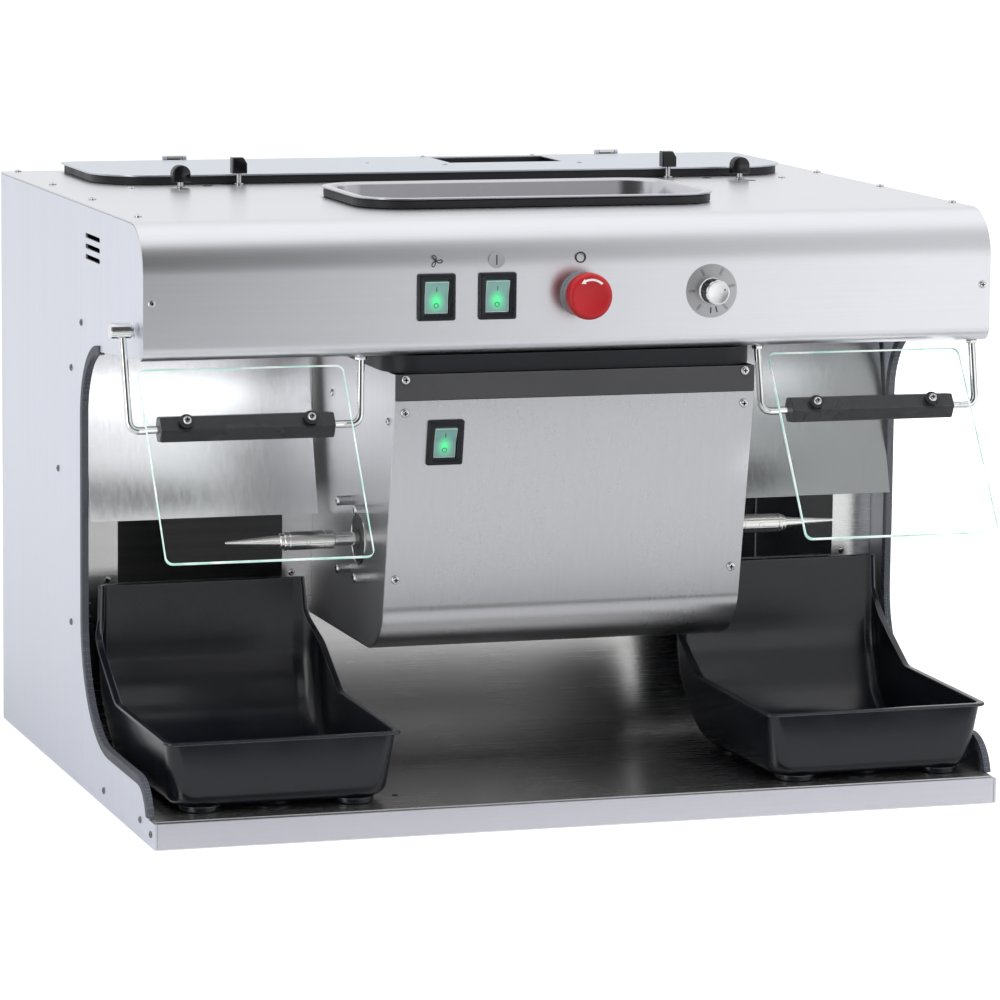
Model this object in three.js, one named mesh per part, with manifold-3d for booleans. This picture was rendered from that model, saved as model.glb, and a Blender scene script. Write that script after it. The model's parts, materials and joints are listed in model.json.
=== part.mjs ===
// Double-place polishing lathe for the bench: a stainless cabinet with two working bays,
// a motor between them with a taper spindle each side, tilting glass shields, scoop trays,
// and an extraction fan and filter under a hinged lid.
// Millimetres. X runs right, Y to the back, Z up. Sizes are laid out from the middle of the
// cabinet's base, and at the end the whole machine is set over the origin by its outline.
import * as THREE from 'three';
import { mergeVertices } from 'three/addons/utils/BufferGeometryUtils.js';
import Module from 'manifold-3d';

const wasm = await Module();
wasm.setup();

// Driving dimensions of the cabinet
const width = 720;
const depth = 575;
const height = 492.6;
const footProud = 1;
const sheet = 1.5;
const thinSheet = 1;
const plateThickness = 2;

// The rod outside the left cheek and the trays in front put the outline's middle off the
// cabinet's, so the cabinet stands this far from the origin
const standX = 11;
const standY = 15;

// Fits shared by all pieces
const seat = 0.3;
const runningGap = 0.5;
const overrun = 5;

// Roundness of arcs, in segments
const fineSides = 18;
const roundSides = 14;
const smallSides = 8;
const arcSteps = 3;
const bendSteps = 6;
const slotSteps = 2;
const fluteSides = 6;

// Places that many pieces share
const halfWidth = width / 2;
const frontY = -depth / 2;
const rearY = depth / 2;
const wallX = halfWidth - plateThickness;
const innerX = wallX - seat;
const rearInnerY = rearY - sheet - seat;

// Hood: one sheet from the rear edge over the top, down the front, curled under
const hoodSetback = 37.8;
const hoodTopRadius = 40;
const hoodCurlRadius = 12;
const hoodFace = 108.6;
const hoodBottomZ = height - hoodFace;
const hoodFrontY = frontY + hoodSetback;
const bayTopZ = hoodBottomZ + sheet + seat;

// Base and work floor
const lipHeight = 21.7;
const lipFlange = 20;
const panFloorZ = 6;
const floorSetback = 3.5;
const floorRadius = 100;
const backSheetY = 0;
const floorTopZ = lipHeight + seat + thinSheet;

// Cheek: the side plate's edge round the working bay
const cheekEdgeY = -38;
const cheekTopDrop = 8;
const cheekTopZ = hoodBottomZ - cheekTopDrop;
const cheekTopRadius = 62;
const cheekLowRadius = 95;
const railTopZ = 49.5;
const railNoseRadius = 34;
const railNoseY = -236;
const trimWidth = 5.6;
const trimProud = 2.5;
const trimGrip = 5;
const clearOfTrimX = halfWidth - plateThickness / 2 - trimWidth / 2 - seat;
const ventLength = 52;
const ventHeight = 4;
const ventPitch = 8.7;
const ventCount = 3;
const ventBackY = -48;
const ventDrop = 23.6;
const ventTopZ = height - ventDrop;

// Motor housing between the bays
const bayWidth = 207;
const housingHalf = halfWidth - bayWidth;
const housingWall = 2;
const neckHeight = 14.8;
const housingTopZ = hoodBottomZ - neckHeight;
const housingHeight = 234.2;
const housingBottomZ = housingTopZ - housingHeight;
const stripHeight = 21.2;
const coverTopZ = housingTopZ - stripHeight;
const coverFrontY = -250;
const coverLean = 9.75 * Math.PI / 180;
const coverRadius = 50;
const neckFrontY = -245;
const neckOverhang = 4;
const neckRadius = 28;
const neckStepY = -235;

// Spindle line
const spindleY = -145;
const spindleRise = 86;
const spindleZ = housingBottomZ + spindleRise;
const shaftRadius = 5.6;
const sleeveRadius = 7.8;
const sleeveGap = 22;
const sleeveLength = 42.5;
const sleeveInnerX = housingHalf + sleeveGap;
const sleeveOuterX = sleeveInnerX + sleeveLength;
const sleeveBore = 12;
const coneRadius = 6.4;
const coneLength = 49;
const coneTipRadius = 1.4;
const shaftHoleRadius = 21.5;
const flangeScrewSpanY = 26;
const flangeScrewSpanZ = 28;
const flangeScrewRadius = 4;
const flangeScrewLength = 10;
const motorRadius = 70;
const motorEndGap = 35;
const motorHalf = housingHalf - motorEndGap;
const motorBore = 44;
const motorWall = 9;
const rotorRadius = 41;
const rotorShare = 0.525;
const rotorHalf = motorHalf * rotorShare;
const bearingRadius = 14;
const bearingWidth = 9;
const motorFlangeRadius = 45;

// Shields
const leftShieldInset = 86.2;
const rightShieldInset = 101.3;
const leftShieldX = leftShieldInset - halfWidth;
const rightShieldX = halfWidth - rightShieldInset;
const shieldY = -239;
const shieldDrop = 56.6;
const shieldZ = bayTopZ - shieldDrop;
const rodRadius = 3;
const rodBend = 9;
const rodSplay = 2.5;
const rodTuck = 1.6;
const rodLean = 7.5;
const rodReach = 94.7;
const rodHold = 22;
const rodStudLength = 8;
const collarRadius = 5;
const collarHeight = 5;
const bossRadius = 6.4;
const bossLength = 20;
const bossRise = 78.8;
const bossZ = shieldZ + bossRise;
const barHalf = 71.5;
const barFlats = 20;
const glassWidth = 169;
const glassLength = 170.5;
const glassThickness = 4;
const glassAbove = 47;
const glassCorner = 6;
const shieldAngle = 34.4 * Math.PI / 180;
const barScrewX = 51;
const barScrewRadius = 4.3;
const barScrewHead = 3;
const barScrewShank = 2;
const washerRadius = 6;
const washerThickness = 1;

// Deflectors and the extraction openings behind them
const deflectorTopY = -14;
const deflectorFootY = -49;
const deflectorFootRise = 7;
const deflectorFootZ = spindleZ + deflectorFootRise;
const deflectorBow = 9;
const deflectorGap = 8;
const deflectorInnerX = housingHalf + deflectorGap;
const ductGap = 26;
const ductInset = 38;
const ductSill = 45;
const ductRise = 79;
const ductInnerX = housingHalf + ductGap;
const ductOuterX = halfWidth - ductInset;
const ductLowZ = floorTopZ + floorRadius + ductSill;
const ductHighZ = spindleZ + ductRise;

// Controls on the hood
const controlRise = 47;
const controlZ = hoodBottomZ + controlRise;
const fanSwitchX = -119.5;
const motorSwitchX = -68.4;
const stopX = 3;
const dialX = 114.5;
const hoodSwitch = { width: 31.8, height: 38 };
const coverSwitch = { width: 30.6, height: 37.6 };
const coverSwitchInset = 43.5;
const coverSwitchX = coverSwitchInset - housingHalf;
const coverSwitchDrop = 35;
const switchBezel = 3.6;
const switchBody = 20;
const switchMargin = 4;
const switchWall = 1.4;
const rockerGap = 0.5;
const rockerThickness = 7;
const rockerDish = 1.6;
const rockerTilt = 7 * Math.PI / 180;
const rockerSink = 2.2;
const stopHeadRadius = 18.9;
const stopHeadThickness = 12;
const stopHeadGap = 4.8;
const stopDish = 1.6;
const stopStem = 7;
const stopNeckRadius = 3;
const stopSleeveRadius = 16;
const stopSleeveLength = 6;
const stopRingRadius = 18.4;
const stopRingThickness = 2;
const stopBarrelRadius = 11;
const stopBarrelLength = 26;
const stopStemLength = 20;
const knobRadius = 10.2;
const knobSkirtRadius = 12.8;
const knobSkirt = 3.5;
const knobLength = 16;
const knobStemRadius = 3;
const knobStemLength = 9;
const knobGripCount = 10;
const controlBox = { width: 96, depth: 62, height: 66 };
const controlBoxGap = 6;
const potRadius = 9;

// Lid, filter and fan
const lidCentreX = 8;
const lidInset = 42;
const lidHalf = halfWidth - lidInset;
const lidFrontY = 117.5;
const lidBackY = 279;
const lidCorner = 50;
const lidBackCorner = 12;
const lidGap = 0.4;
const gasketHeight = 6.4;
const gasketInset = 3;
const gasketWidth = 11;
const lidOverlap = 6;
const windowLeftX = 30;
const windowRightX = 135;
const windowFrontY = 202;
const windowBackY = 266;
const hingeX = 203.5;
const hingeWidth = 14;
const hingeRadius = 2.6;
const hingePinRadius = 1.2;
const hingeLug = 3.5;
const deckDrop = 194.6;
const deckZ = height - deckDrop;
const filterInset = 64;
const filterLeftX = filterInset - halfWidth;
const filterRightX = -24;
const filterFrontY = 132;
const filterBackY = 266;
const filterHeight = 176;
const filterFrame = 8;
const filterFrameHeight = 14;
const pleatCount = 6;
const pleatThickness = 2.4;
const scrollY = 150;
const scrollDrop = 99.6;
const scrollZ = height - scrollDrop;
const scrollWidth = 92;
const scrollStartRadius = 70;
const scrollEndRadius = 90;
const fanRadius = 60;
const fanEyeRadius = 38;
const fanBladeCount = 10;
const fanBladeThickness = 1.6;
const fanBladeHeight = 34;
const fanPlate = 2;
const fanShaftRadius = 4;
const fanHubRadius = 10;
const fanMotorRadius = 42;
const fanMotorLength = 74;

// Lid clamps on the top sheet
const clampCentreX = 7.5;
const toggleX = 196;
const toggleY = 112;
const toggleLength = 11.6;
const toggleWidth = 8.4;
const toggleHeight = 14;
const toggleLift = 9.4;
const toggleShoulderShare = 0.62;
const toggleTopShare = 0.5;
const outerKnobX = 254;
const outerKnobY = 86;
const outerKnobWidth = 15.6;
const outerKnobDepth = 11.5;
const outerKnobHeight = 14.5;
const outerKnobLift = 5;
const postRadius = 2.6;
const postFlangeRadius = 4.6;
const postFlange = 1.2;
const knobRibCount = 4;

// Parts pan in the top sheet
const panCentreX = 5.6;
const panCentreY = -67.5;
const panLength = 313;
const panWidth = 169;
const panCorner = 42;
const panDepth = 60;
const panRim = 8;
const panRimLift = 9;
const panTaper = 5;
const panFloorRound = 8;

// Catch trays
const leftTrayInset = 107.7;
const rightTrayInset = 105.4;
const leftTrayX = leftTrayInset - halfWidth;
const rightTrayX = halfWidth - rightTrayInset;
const rightTrayPull = -5;
const trayTurn = 0.8 * Math.PI / 180;
const trayFrontY = -270;
const trayBackY = -28;
const trayHalf = 98.5;
const trayRim = 3.3;
const trayWall = 2.5;
const trayBackStep = 1.5;
const trayDraftShare = 0.09;
const trayRimZ = 82.5;
const trayRimRise = 3;
const trayBackZ = 172;
const trayBackEdgeZ = 164;
const trayFrontCorner = 9;
const trayLowCorner = 18;
const trayRearCorner = 22;
const trayTopCorner = 18;
const trayFloorRound = 9;
const trayScoopRadius = 85;
const trayRimSlope = 31 * Math.PI / 180;
const trayRimKink = 16;
const trayRimSweep = 38;
const traySweepZ = 150;
const trayFootRadius = 17;
const trayFootHeight = 4;
const trayFootInset = 4;
const trayFootX = 64;
const trayFootBack = 12;

// Hidden service pieces
const footRail = { width: 26, length: 500 };
const footRailInset = 35;
const footRailX = halfWidth - footRailInset;
const inlet = { width: 48, height: 24, flange: 3, body: 22, wall: 3 };
const inletInset = 90;
const inletX = inletInset - halfWidth;
const inletZ = 70;

const mirrored = [-1, 1];
const sideName = { '-1': 'left', 1: 'right' };

// Materials
function paint(color, roughness, metalness) {
  return new THREE.MeshStandardMaterial({ color, roughness, metalness });
}
const stainless = paint(0xb9b8ba, 0.35, 0.9);
const satinPlate = paint(0xc6cbd6, 0.55, 0.6);
const darkStrip = paint(0x45454a, 0.6, 0.3);
const blackRubber = paint(0x1c1c20, 0.85, 0);
const blackPlastic = paint(0x26272c, 0.45, 0);
const trayPlastic = paint(0x222329, 0.4, 0);
const chrome = paint(0xd8d8da, 0.12, 1);
const groundSteel = paint(0xcac8c4, 0.25, 1);
const castAlloy = paint(0x8f9296, 0.55, 0.7);
const clearGlass = paint(0xcfe8e0, 0.05, 0);
const greenLens = paint(0x1fae5c, 0.25, 0);
const stopRed = paint(0xb3202c, 0.35, 0);
const greyPlastic = paint(0x8b8f94, 0.5, 0);
const filterMedia = paint(0xe6e4da, 0.9, 0);

// Solids from three.js geometry, cut and joined
function solid(geometry) {
  const bare = geometry.clone();
  bare.deleteAttribute('normal');
  bare.deleteAttribute('uv');
  const merged = mergeVertices(bare, 1e-4);
  return new wasm.Manifold(new wasm.Mesh({
    numProp: 3,
    vertProperties: new Float32Array(merged.attributes.position.array),
    triVerts: new Uint32Array(merged.index.array),
  }));
}

function geometryOf(body) {
  const mesh = body.getMesh();
  const geometry = new THREE.BufferGeometry();
  geometry.setAttribute('position', new THREE.BufferAttribute(mesh.vertProperties, 3));
  geometry.setIndex(new THREE.BufferAttribute(mesh.triVerts, 1));
  geometry.computeVertexNormals();
  return geometry;
}

function join(...bodies) {
  return bodies.reduce((whole, body) => whole.add(body));
}

function cut(body, ...tools) {
  return tools.reduce((rest, tool) => rest.subtract(tool), body);
}

function extrusion(shape, length, steps = arcSteps) {
  return new THREE.ExtrudeGeometry(shape, { depth: length, bevelEnabled: false, curveSegments: steps });
}

// A YZ outline drawn out along X, an XZ outline along Y, an XY outline along Z
function alongX(shape, fromX, toX, steps) {
  const turn = new THREE.Matrix4().makeBasis(
    new THREE.Vector3(0, 1, 0), new THREE.Vector3(0, 0, 1), new THREE.Vector3(1, 0, 0));
  return solid(extrusion(shape, toX - fromX, steps).applyMatrix4(turn).translate(fromX, 0, 0));
}

function alongY(shape, fromY, toY, steps) {
  return solid(extrusion(shape, toY - fromY, steps).rotateX(Math.PI / 2).translate(0, toY, 0));
}

function alongZ(shape, fromZ, toZ, steps) {
  return solid(extrusion(shape, toZ - fromZ, steps).translate(0, 0, fromZ));
}

function block(x0, x1, y0, y1, z0, z1) {
  const box = new THREE.BoxGeometry(x1 - x0, y1 - y0, z1 - z0);
  return solid(box.translate((x0 + x1) / 2, (y0 + y1) / 2, (z0 + z1) / 2));
}

// Revolved outlines: points are [radius, place along the axis], counted either way round
function turned(points, axis, sides = roundSides) {
  const outline = points.map(([r, a]) => new THREE.Vector2(r, a));
  if (THREE.ShapeUtils.area(outline) < 0) outline.reverse();
  const lathe = new THREE.LatheGeometry(outline, sides);
  if (axis === 'X') lathe.rotateZ(-Math.PI / 2);
  if (axis === 'Z') lathe.rotateX(Math.PI / 2);
  return solid(lathe);
}

function disc(radius, from, to, axis, sides = roundSides) {
  return turned([[0, from], [radius, from], [radius, to], [0, to]], axis, sides);
}

function polygon(points) {
  return new THREE.Shape(points.map(([a, b]) => new THREE.Vector2(a, b)));
}

function rounded(x0, x1, y0, y1, frontRadius, backRadius = frontRadius) {
  const shape = new THREE.Shape();
  shape.moveTo(x0 + frontRadius, y0);
  shape.lineTo(x1 - frontRadius, y0);
  shape.absarc(x1 - frontRadius, y0 + frontRadius, frontRadius, -Math.PI / 2, 0);
  shape.lineTo(x1, y1 - backRadius);
  shape.absarc(x1 - backRadius, y1 - backRadius, backRadius, 0, Math.PI / 2);
  shape.lineTo(x0 + backRadius, y1);
  shape.absarc(x0 + backRadius, y1 - backRadius, backRadius, Math.PI / 2, Math.PI);
  shape.lineTo(x0, y0 + frontRadius);
  shape.absarc(x0 + frontRadius, y0 + frontRadius, frontRadius, Math.PI, 3 * Math.PI / 2);
  return shape;
}

// A solid skinned over a stack of closed rings that all have the same number of points
function skinned(rings) {
  const count = rings[0].length;
  const positions = rings.flat(2);
  const index = [];
  for (let level = 0; level + 1 < rings.length; level += 1) {
    for (let k = 0; k < count; k += 1) {
      const a = level * count + k;
      const b = level * count + (k + 1) % count;
      index.push(a, b, b + count, a, b + count, a + count);
    }
  }
  const top = (rings.length - 1) * count;
  for (let k = 1; k + 1 < count; k += 1) {
    index.push(0, k + 1, k);
    index.push(top, top + k, top + k + 1);
  }
  const geometry = new THREE.BufferGeometry();
  geometry.setAttribute('position', new THREE.Float32BufferAttribute(positions, 3));
  geometry.setIndex(index);
  return solid(geometry);
}

function roundedRing(x0, x1, y0, y1, radius, z) {
  return rounded(x0, x1, y0, y1, radius).getPoints(arcSteps).slice(0, -1).map((p) => [p.x, p.y, z]);
}

// A strip beside a path: offsets count from the path, positive to its left
function band(points, inside, outside) {
  const offset = (distance) => points.map((point, k) => {
    const before = points[Math.max(k - 1, 0)];
    const after = points[Math.min(k + 1, points.length - 1)];
    const first = point.clone().sub(before).normalize();
    const second = after.clone().sub(point).normalize();
    const along = first.add(second).normalize();
    return new THREE.Vector2(point.x - along.y * distance, point.y + along.x * distance);
  });
  return new THREE.Shape([...offset(inside), ...offset(outside).reverse()]);
}

const machine = new THREE.Group();

function add(name, body, material, place = {}) {
  const mesh = new THREE.Mesh(geometryOf(body), material);
  mesh.name = name;
  mesh.position.set(place.x ?? 0, place.y ?? 0, place.z ?? 0);
  mesh.rotation.set(place.tilt ?? 0, 0, place.turn ?? 0);
  (place.parent ?? machine).add(mesh);
  return mesh;
}

// Side plates: cheek outline with a concave working edge, and the rubber trim along it
function bayEdge() {
  const edge = new THREE.Path();
  const lowCentreY = cheekEdgeY - cheekLowRadius;
  const topCentreY = cheekEdgeY - cheekTopRadius;
  const noseCentreZ = railTopZ - railNoseRadius;
  const noseStart = Math.PI - Math.asin((lipHeight - noseCentreZ) / railNoseRadius);
  edge.absarc(railNoseY, noseCentreZ, railNoseRadius, noseStart, Math.PI / 2, true);
  edge.lineTo(lowCentreY, railTopZ);
  edge.absarc(lowCentreY, railTopZ + cheekLowRadius, cheekLowRadius, -Math.PI / 2, 0);
  edge.lineTo(cheekEdgeY, cheekTopZ - cheekTopRadius);
  edge.absarc(topCentreY, cheekTopZ - cheekTopRadius, cheekTopRadius, 0, Math.PI / 2);
  return edge.getPoints(bendSteps);
}

function cheekShape() {
  const top = height - sheet - seat;
  const front = hoodFrontY + sheet + seat;
  const crown = hoodTopRadius - sheet - seat;
  const curl = hoodCurlRadius - sheet - seat;
  const shape = new THREE.Shape();
  shape.moveTo(rearY, footProud);
  shape.lineTo(rearY, top);
  shape.lineTo(front + crown, top);
  shape.absarc(front + crown, top - crown, crown, Math.PI / 2, Math.PI);
  shape.lineTo(front, bayTopZ + curl);
  shape.absarc(front + curl, bayTopZ + curl, curl, Math.PI, 3 * Math.PI / 2);
  bayEdge().reverse().forEach((point) => shape.lineTo(point.x, point.y));
  shape.lineTo(frontY, lipHeight);
  shape.lineTo(frontY, footProud);
  return shape;
}

function ventSlots(side) {
  const slots = [];
  for (let row = 0; row < ventCount; row += 1) {
    const top = ventTopZ - row * ventPitch;
    const slot = rounded(ventBackY - ventLength, ventBackY, top - ventHeight, top, ventHeight / 2);
    slots.push(alongX(slot, side * halfWidth - overrun, side * halfWidth + overrun, slotSteps));
  }
  return slots;
}

function sidePlate(side) {
  const outer = side * halfWidth;
  const inner = side * wallX;
  const plate = alongX(cheekShape(), Math.min(outer, inner), Math.max(outer, inner));
  add(`${sideName[side]}_side_plate`, cut(plate, ...ventSlots(side)), satinPlate);
}

function edgeTrim(side) {
  const middle = side * (halfWidth - plateThickness / 2);
  const lips = trimWidth / 2;
  const slotHalf = plateThickness / 2 + seat;
  const edge = bayEdge();
  const strip = alongX(band(edge, -trimGrip, trimProud), middle - lips, middle + lips);
  const slot = alongX(band(edge, -trimGrip - overrun, seat), middle - slotHalf, middle + slotHalf);
  const overFloor = block(middle - trimWidth, middle + trimWidth,
    frontY - overrun, railNoseY, 0, floorTopZ + seat);
  add(`${sideName[side]}_edge_trim`, cut(strip, slot, overFloor), blackRubber);
}

// Hood sheet with its openings
function hoodShape() {
  const crown = hoodTopRadius - sheet;
  const curl = hoodCurlRadius - sheet;
  const crownY = hoodFrontY + hoodTopRadius;
  const crownZ = height - hoodTopRadius;
  const curlY = hoodFrontY + hoodCurlRadius;
  const curlZ = hoodBottomZ + hoodCurlRadius;
  const shape = new THREE.Shape();
  shape.moveTo(rearY, height);
  shape.lineTo(crownY, height);
  shape.absarc(crownY, crownZ, hoodTopRadius, Math.PI / 2, Math.PI);
  shape.lineTo(hoodFrontY, curlZ);
  shape.absarc(curlY, curlZ, hoodCurlRadius, Math.PI, 3 * Math.PI / 2);
  shape.lineTo(curlY, hoodBottomZ + sheet);
  shape.absarc(curlY, curlZ, curl, 3 * Math.PI / 2, Math.PI, true);
  shape.lineTo(hoodFrontY + sheet, crownZ);
  shape.absarc(crownY, crownZ, crown, Math.PI, Math.PI / 2, true);
  shape.lineTo(rearY, height - sheet);
  return shape;
}

function frontHole(x, z, halfX, halfZ) {
  return block(x - halfX, x + halfX, hoodFrontY - overrun, hoodFrontY + sheet + overrun,
    z - halfZ, z + halfZ);
}

function roundFrontHole(x, radius) {
  return disc(radius, hoodFrontY - overrun, hoodFrontY + sheet + overrun, 'Y', fineSides)
    .translate([x, 0, controlZ]);
}

function switchCore(size) {
  return { x: size.width / 2 - switchMargin, z: size.height / 2 - switchMargin };
}

function hood() {
  const shell = alongX(hoodShape(), -halfWidth, halfWidth, bendSteps);
  const low = height - sheet - overrun;
  const high = height + overrun;
  const border = gasketInset + gasketWidth + lidOverlap;
  const lidHole = block(lidCentreX - lidHalf + border, lidCentreX + lidHalf - border,
    lidFrontY + border, lidBackY - border, low, high);
  const panHole = alongZ(rounded(
    panCentreX - panLength / 2 + panRim - seat, panCentreX + panLength / 2 - panRim + seat,
    panCentreY - panWidth / 2 + panRim - seat, panCentreY + panWidth / 2 - panRim + seat,
    panCorner - panRim), low, high);
  const core = switchCore(hoodSwitch);
  const switches = [fanSwitchX, motorSwitchX]
    .map((x) => frontHole(x, controlZ, core.x + seat, core.z + seat));
  add('hood', cut(shell, lidHole, panHole, ...switches,
    roundFrontHole(stopX, stopBarrelRadius + seat),
    roundFrontHole(dialX, knobStemRadius + runningGap)), stainless);
}

// Base pan with its front lip, the floor sheet that curves up behind the bays, rear and ceiling
function basePan() {
  const lip = block(-innerX, innerX, frontY, frontY + sheet, footProud, lipHeight);
  const flange = block(-innerX, innerX, frontY, frontY + lipFlange, lipHeight - sheet, lipHeight);
  const floor = block(-innerX, innerX, frontY, rearInnerY, panFloorZ, panFloorZ + sheet);
  add('base_pan', join(lip, flange, floor), stainless);
}

function footRails() {
  for (const side of mirrored) {
    const x = side * footRailX;
    const rail = rounded(x - footRail.width / 2, x + footRail.width / 2,
      -footRail.length / 2, footRail.length / 2, footRail.width / 2 - seat);
    add(`${sideName[side]}_foot_rail`, alongZ(rail, 0, panFloorZ - seat), blackRubber);
  }
}

function workFloor() {
  const inner = floorRadius + thinSheet;
  const centreY = backSheetY - floorRadius;
  const centreZ = floorTopZ + floorRadius;
  const shape = new THREE.Shape();
  shape.moveTo(frontY + floorSetback, floorTopZ);
  shape.lineTo(centreY, floorTopZ);
  shape.absarc(centreY, centreZ, floorRadius, -Math.PI / 2, 0);
  shape.lineTo(backSheetY, bayTopZ);
  shape.lineTo(backSheetY + thinSheet, bayTopZ);
  shape.lineTo(backSheetY + thinSheet, centreZ);
  shape.absarc(centreY, centreZ, inner, 0, -Math.PI / 2, true);
  shape.lineTo(frontY + floorSetback, floorTopZ - thinSheet);
  const skin = alongX(shape, -innerX, innerX, bendSteps);
  const ducts = mirrored.map((side) => {
    const near = side * ductInnerX;
    const far = side * ductOuterX;
    return block(Math.min(near, far), Math.max(near, far),
      backSheetY - overrun, backSheetY + thinSheet + overrun, ductLowZ, ductHighZ);
  });
  add('work_floor', cut(skin, ...ducts), stainless);
}

function ceilingPanel() {
  const frontEdge = hoodFrontY + hoodCurlRadius + seat;
  const low = bayTopZ + seat;
  const panel = block(-innerX, innerX, frontEdge, backSheetY + thinSheet, low, low + sheet);
  const holes = shieldRods.filter((rod) => !rod.onBoss).map((rod) => {
    const place = rodPoint(rod, low + sheet / 2 - shieldZ);
    return disc(rodRadius + seat, low - overrun, low + overrun, 'Z', smallSides)
      .translate([rod.centreX + place.x, shieldY + place.y, 0]);
  });
  add('ceiling_panel', cut(panel, ...holes), stainless);
}

function rearPanel() {
  const panel = block(-innerX, innerX, rearY - sheet, rearY, footProud, height - sheet - seat);
  const reach = inlet.width / 2 - inlet.wall + seat;
  const hole = block(inletX - reach, inletX + reach, rearY - sheet - overrun, rearY + overrun,
    inletZ - inlet.height / 2 - seat, inletZ + inlet.height / 2 + seat);
  add('rear_panel', cut(panel, hole), stainless);
}

function powerInlet() {
  const half = inlet.width / 2;
  const tall = inlet.height / 2;
  const back = rearY + seat + inlet.flange;
  const inner = rearY - inlet.body;
  const flange = block(inletX - half, inletX + half, rearY + seat, back,
    inletZ - tall - inlet.wall, inletZ + tall + inlet.wall);
  const body = block(inletX - half + inlet.wall, inletX + half - inlet.wall, inner, back,
    inletZ - tall, inletZ + tall);
  const socket = block(inletX - half + 2 * inlet.wall, inletX + half - 2 * inlet.wall,
    inner + inlet.wall, back + overrun, inletZ - tall + inlet.wall, inletZ + tall - inlet.wall);
  add('power_inlet', cut(join(flange, body), socket), blackPlastic);
}

// Deflector in each bay: a bowed sheet leaning forward at its foot
function deflector(side) {
  const top = bayTopZ - seat;
  const middleZ = (top + deflectorFootZ) / 2;
  const middleY = (deflectorTopY + deflectorFootY) / 2 + deflectorBow;
  const shape = new THREE.Shape();
  shape.moveTo(deflectorTopY, top);
  shape.quadraticCurveTo(middleY, middleZ, deflectorFootY, deflectorFootZ);
  shape.lineTo(deflectorFootY + thinSheet, deflectorFootZ);
  shape.quadraticCurveTo(middleY + thinSheet, middleZ, deflectorTopY + thinSheet, top);
  const near = side * deflectorInnerX;
  const far = side * clearOfTrimX;
  add(`${sideName[side]}_deflector`, alongX(shape, Math.min(near, far), Math.max(near, far)), stainless);
}

// Motor housing: two walls, a bent front cover, a dark top strip and the moulded neck above
function coverCentreY() {
  const drop = coverTopZ - housingBottomZ - coverRadius;
  return coverFrontY + (coverRadius + drop * Math.sin(coverLean)) / Math.cos(coverLean);
}

function coverPath(shape, inset, reverse) {
  const centreY = coverCentreY();
  const centreZ = housingBottomZ + coverRadius;
  const start = Math.PI + coverLean;
  const topY = coverFrontY + inset / Math.cos(coverLean);
  if (reverse) {
    shape.lineTo(centreY, housingBottomZ + inset);
    shape.absarc(centreY, centreZ, coverRadius - inset, 3 * Math.PI / 2, start, true);
    shape.lineTo(topY, coverTopZ);
  } else {
    shape.lineTo(topY, coverTopZ);
    shape.absarc(centreY, centreZ, coverRadius - inset, start, 3 * Math.PI / 2);
  }
}

function housingWallPiece(side) {
  const inset = sheet + seat;
  const back = backSheetY - seat;
  const shape = new THREE.Shape();
  shape.moveTo(back, housingBottomZ + inset);
  shape.lineTo(back, housingTopZ);
  shape.lineTo(coverFrontY + inset, housingTopZ);
  coverPath(shape, inset, false);
  const outer = side * housingHalf;
  const inner = side * (housingHalf - housingWall);
  const wall = alongX(shape, Math.min(outer, inner), Math.max(outer, inner));
  const hole = disc(shaftHoleRadius, -housingHalf - overrun, housingHalf + overrun, 'X')
    .translate([0, spindleY, spindleZ]);
  const screws = [];
  const screwStart = Math.min(inner, outer + side * flangeScrewLength);
  const screwEnd = Math.max(inner, outer + side * flangeScrewLength);
  for (const y of mirrored) {
    for (const z of mirrored) {
      screws.push(disc(flangeScrewRadius, screwStart, screwEnd, 'X', smallSides)
        .translate([0, spindleY + y * flangeScrewSpanY, spindleZ + z * flangeScrewSpanZ]));
    }
  }
  add(`${sideName[side]}_housing_wall`, join(cut(wall, hole), ...screws), stainless);
}

function coverSwitchFrame() {
  const along = coverSwitchDrop / Math.cos(coverLean);
  return {
    y: coverFrontY + along * Math.sin(coverLean),
    z: coverTopZ - coverSwitchDrop,
  };
}

function motorCover() {
  const shape = new THREE.Shape();
  const back = backSheetY - seat;
  shape.moveTo(coverFrontY, coverTopZ);
  coverPath(shape, 0, false);
  shape.lineTo(back, housingBottomZ);
  shape.lineTo(back, housingBottomZ + sheet);
  coverPath(shape, sheet, true);
  const bent = alongX(shape, -housingHalf, housingHalf, bendSteps);
  const core = switchCore(coverSwitch);
  const place = coverSwitchFrame();
  const hole = block(-core.x - seat, core.x + seat, -overrun, overrun, -core.z - seat, core.z + seat)
    .rotate([coverLean * 180 / Math.PI, 0, 0])
    .translate([coverSwitchX, place.y, place.z]);
  add('motor_front_cover', cut(bent, hole), stainless);
}

function topStrip() {
  add('cover_top_strip', block(-housingHalf, housingHalf, coverFrontY, coverFrontY + sheet,
    coverTopZ + seat, housingTopZ), darkStrip);
}

function neckSeal() {
  const half = housingHalf + neckOverhang;
  const bottom = housingTopZ + seat;
  const lower = rounded(-half, half, neckFrontY, backSheetY - seat, neckRadius, seat);
  const body = alongZ(lower, bottom, hoodBottomZ - seat);
  const step = block(-half + neckRadius, half - neckRadius, neckStepY, backSheetY - seat, bottom, bayTopZ);
  add('neck_seal', join(body, step), blackPlastic);
}

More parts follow.
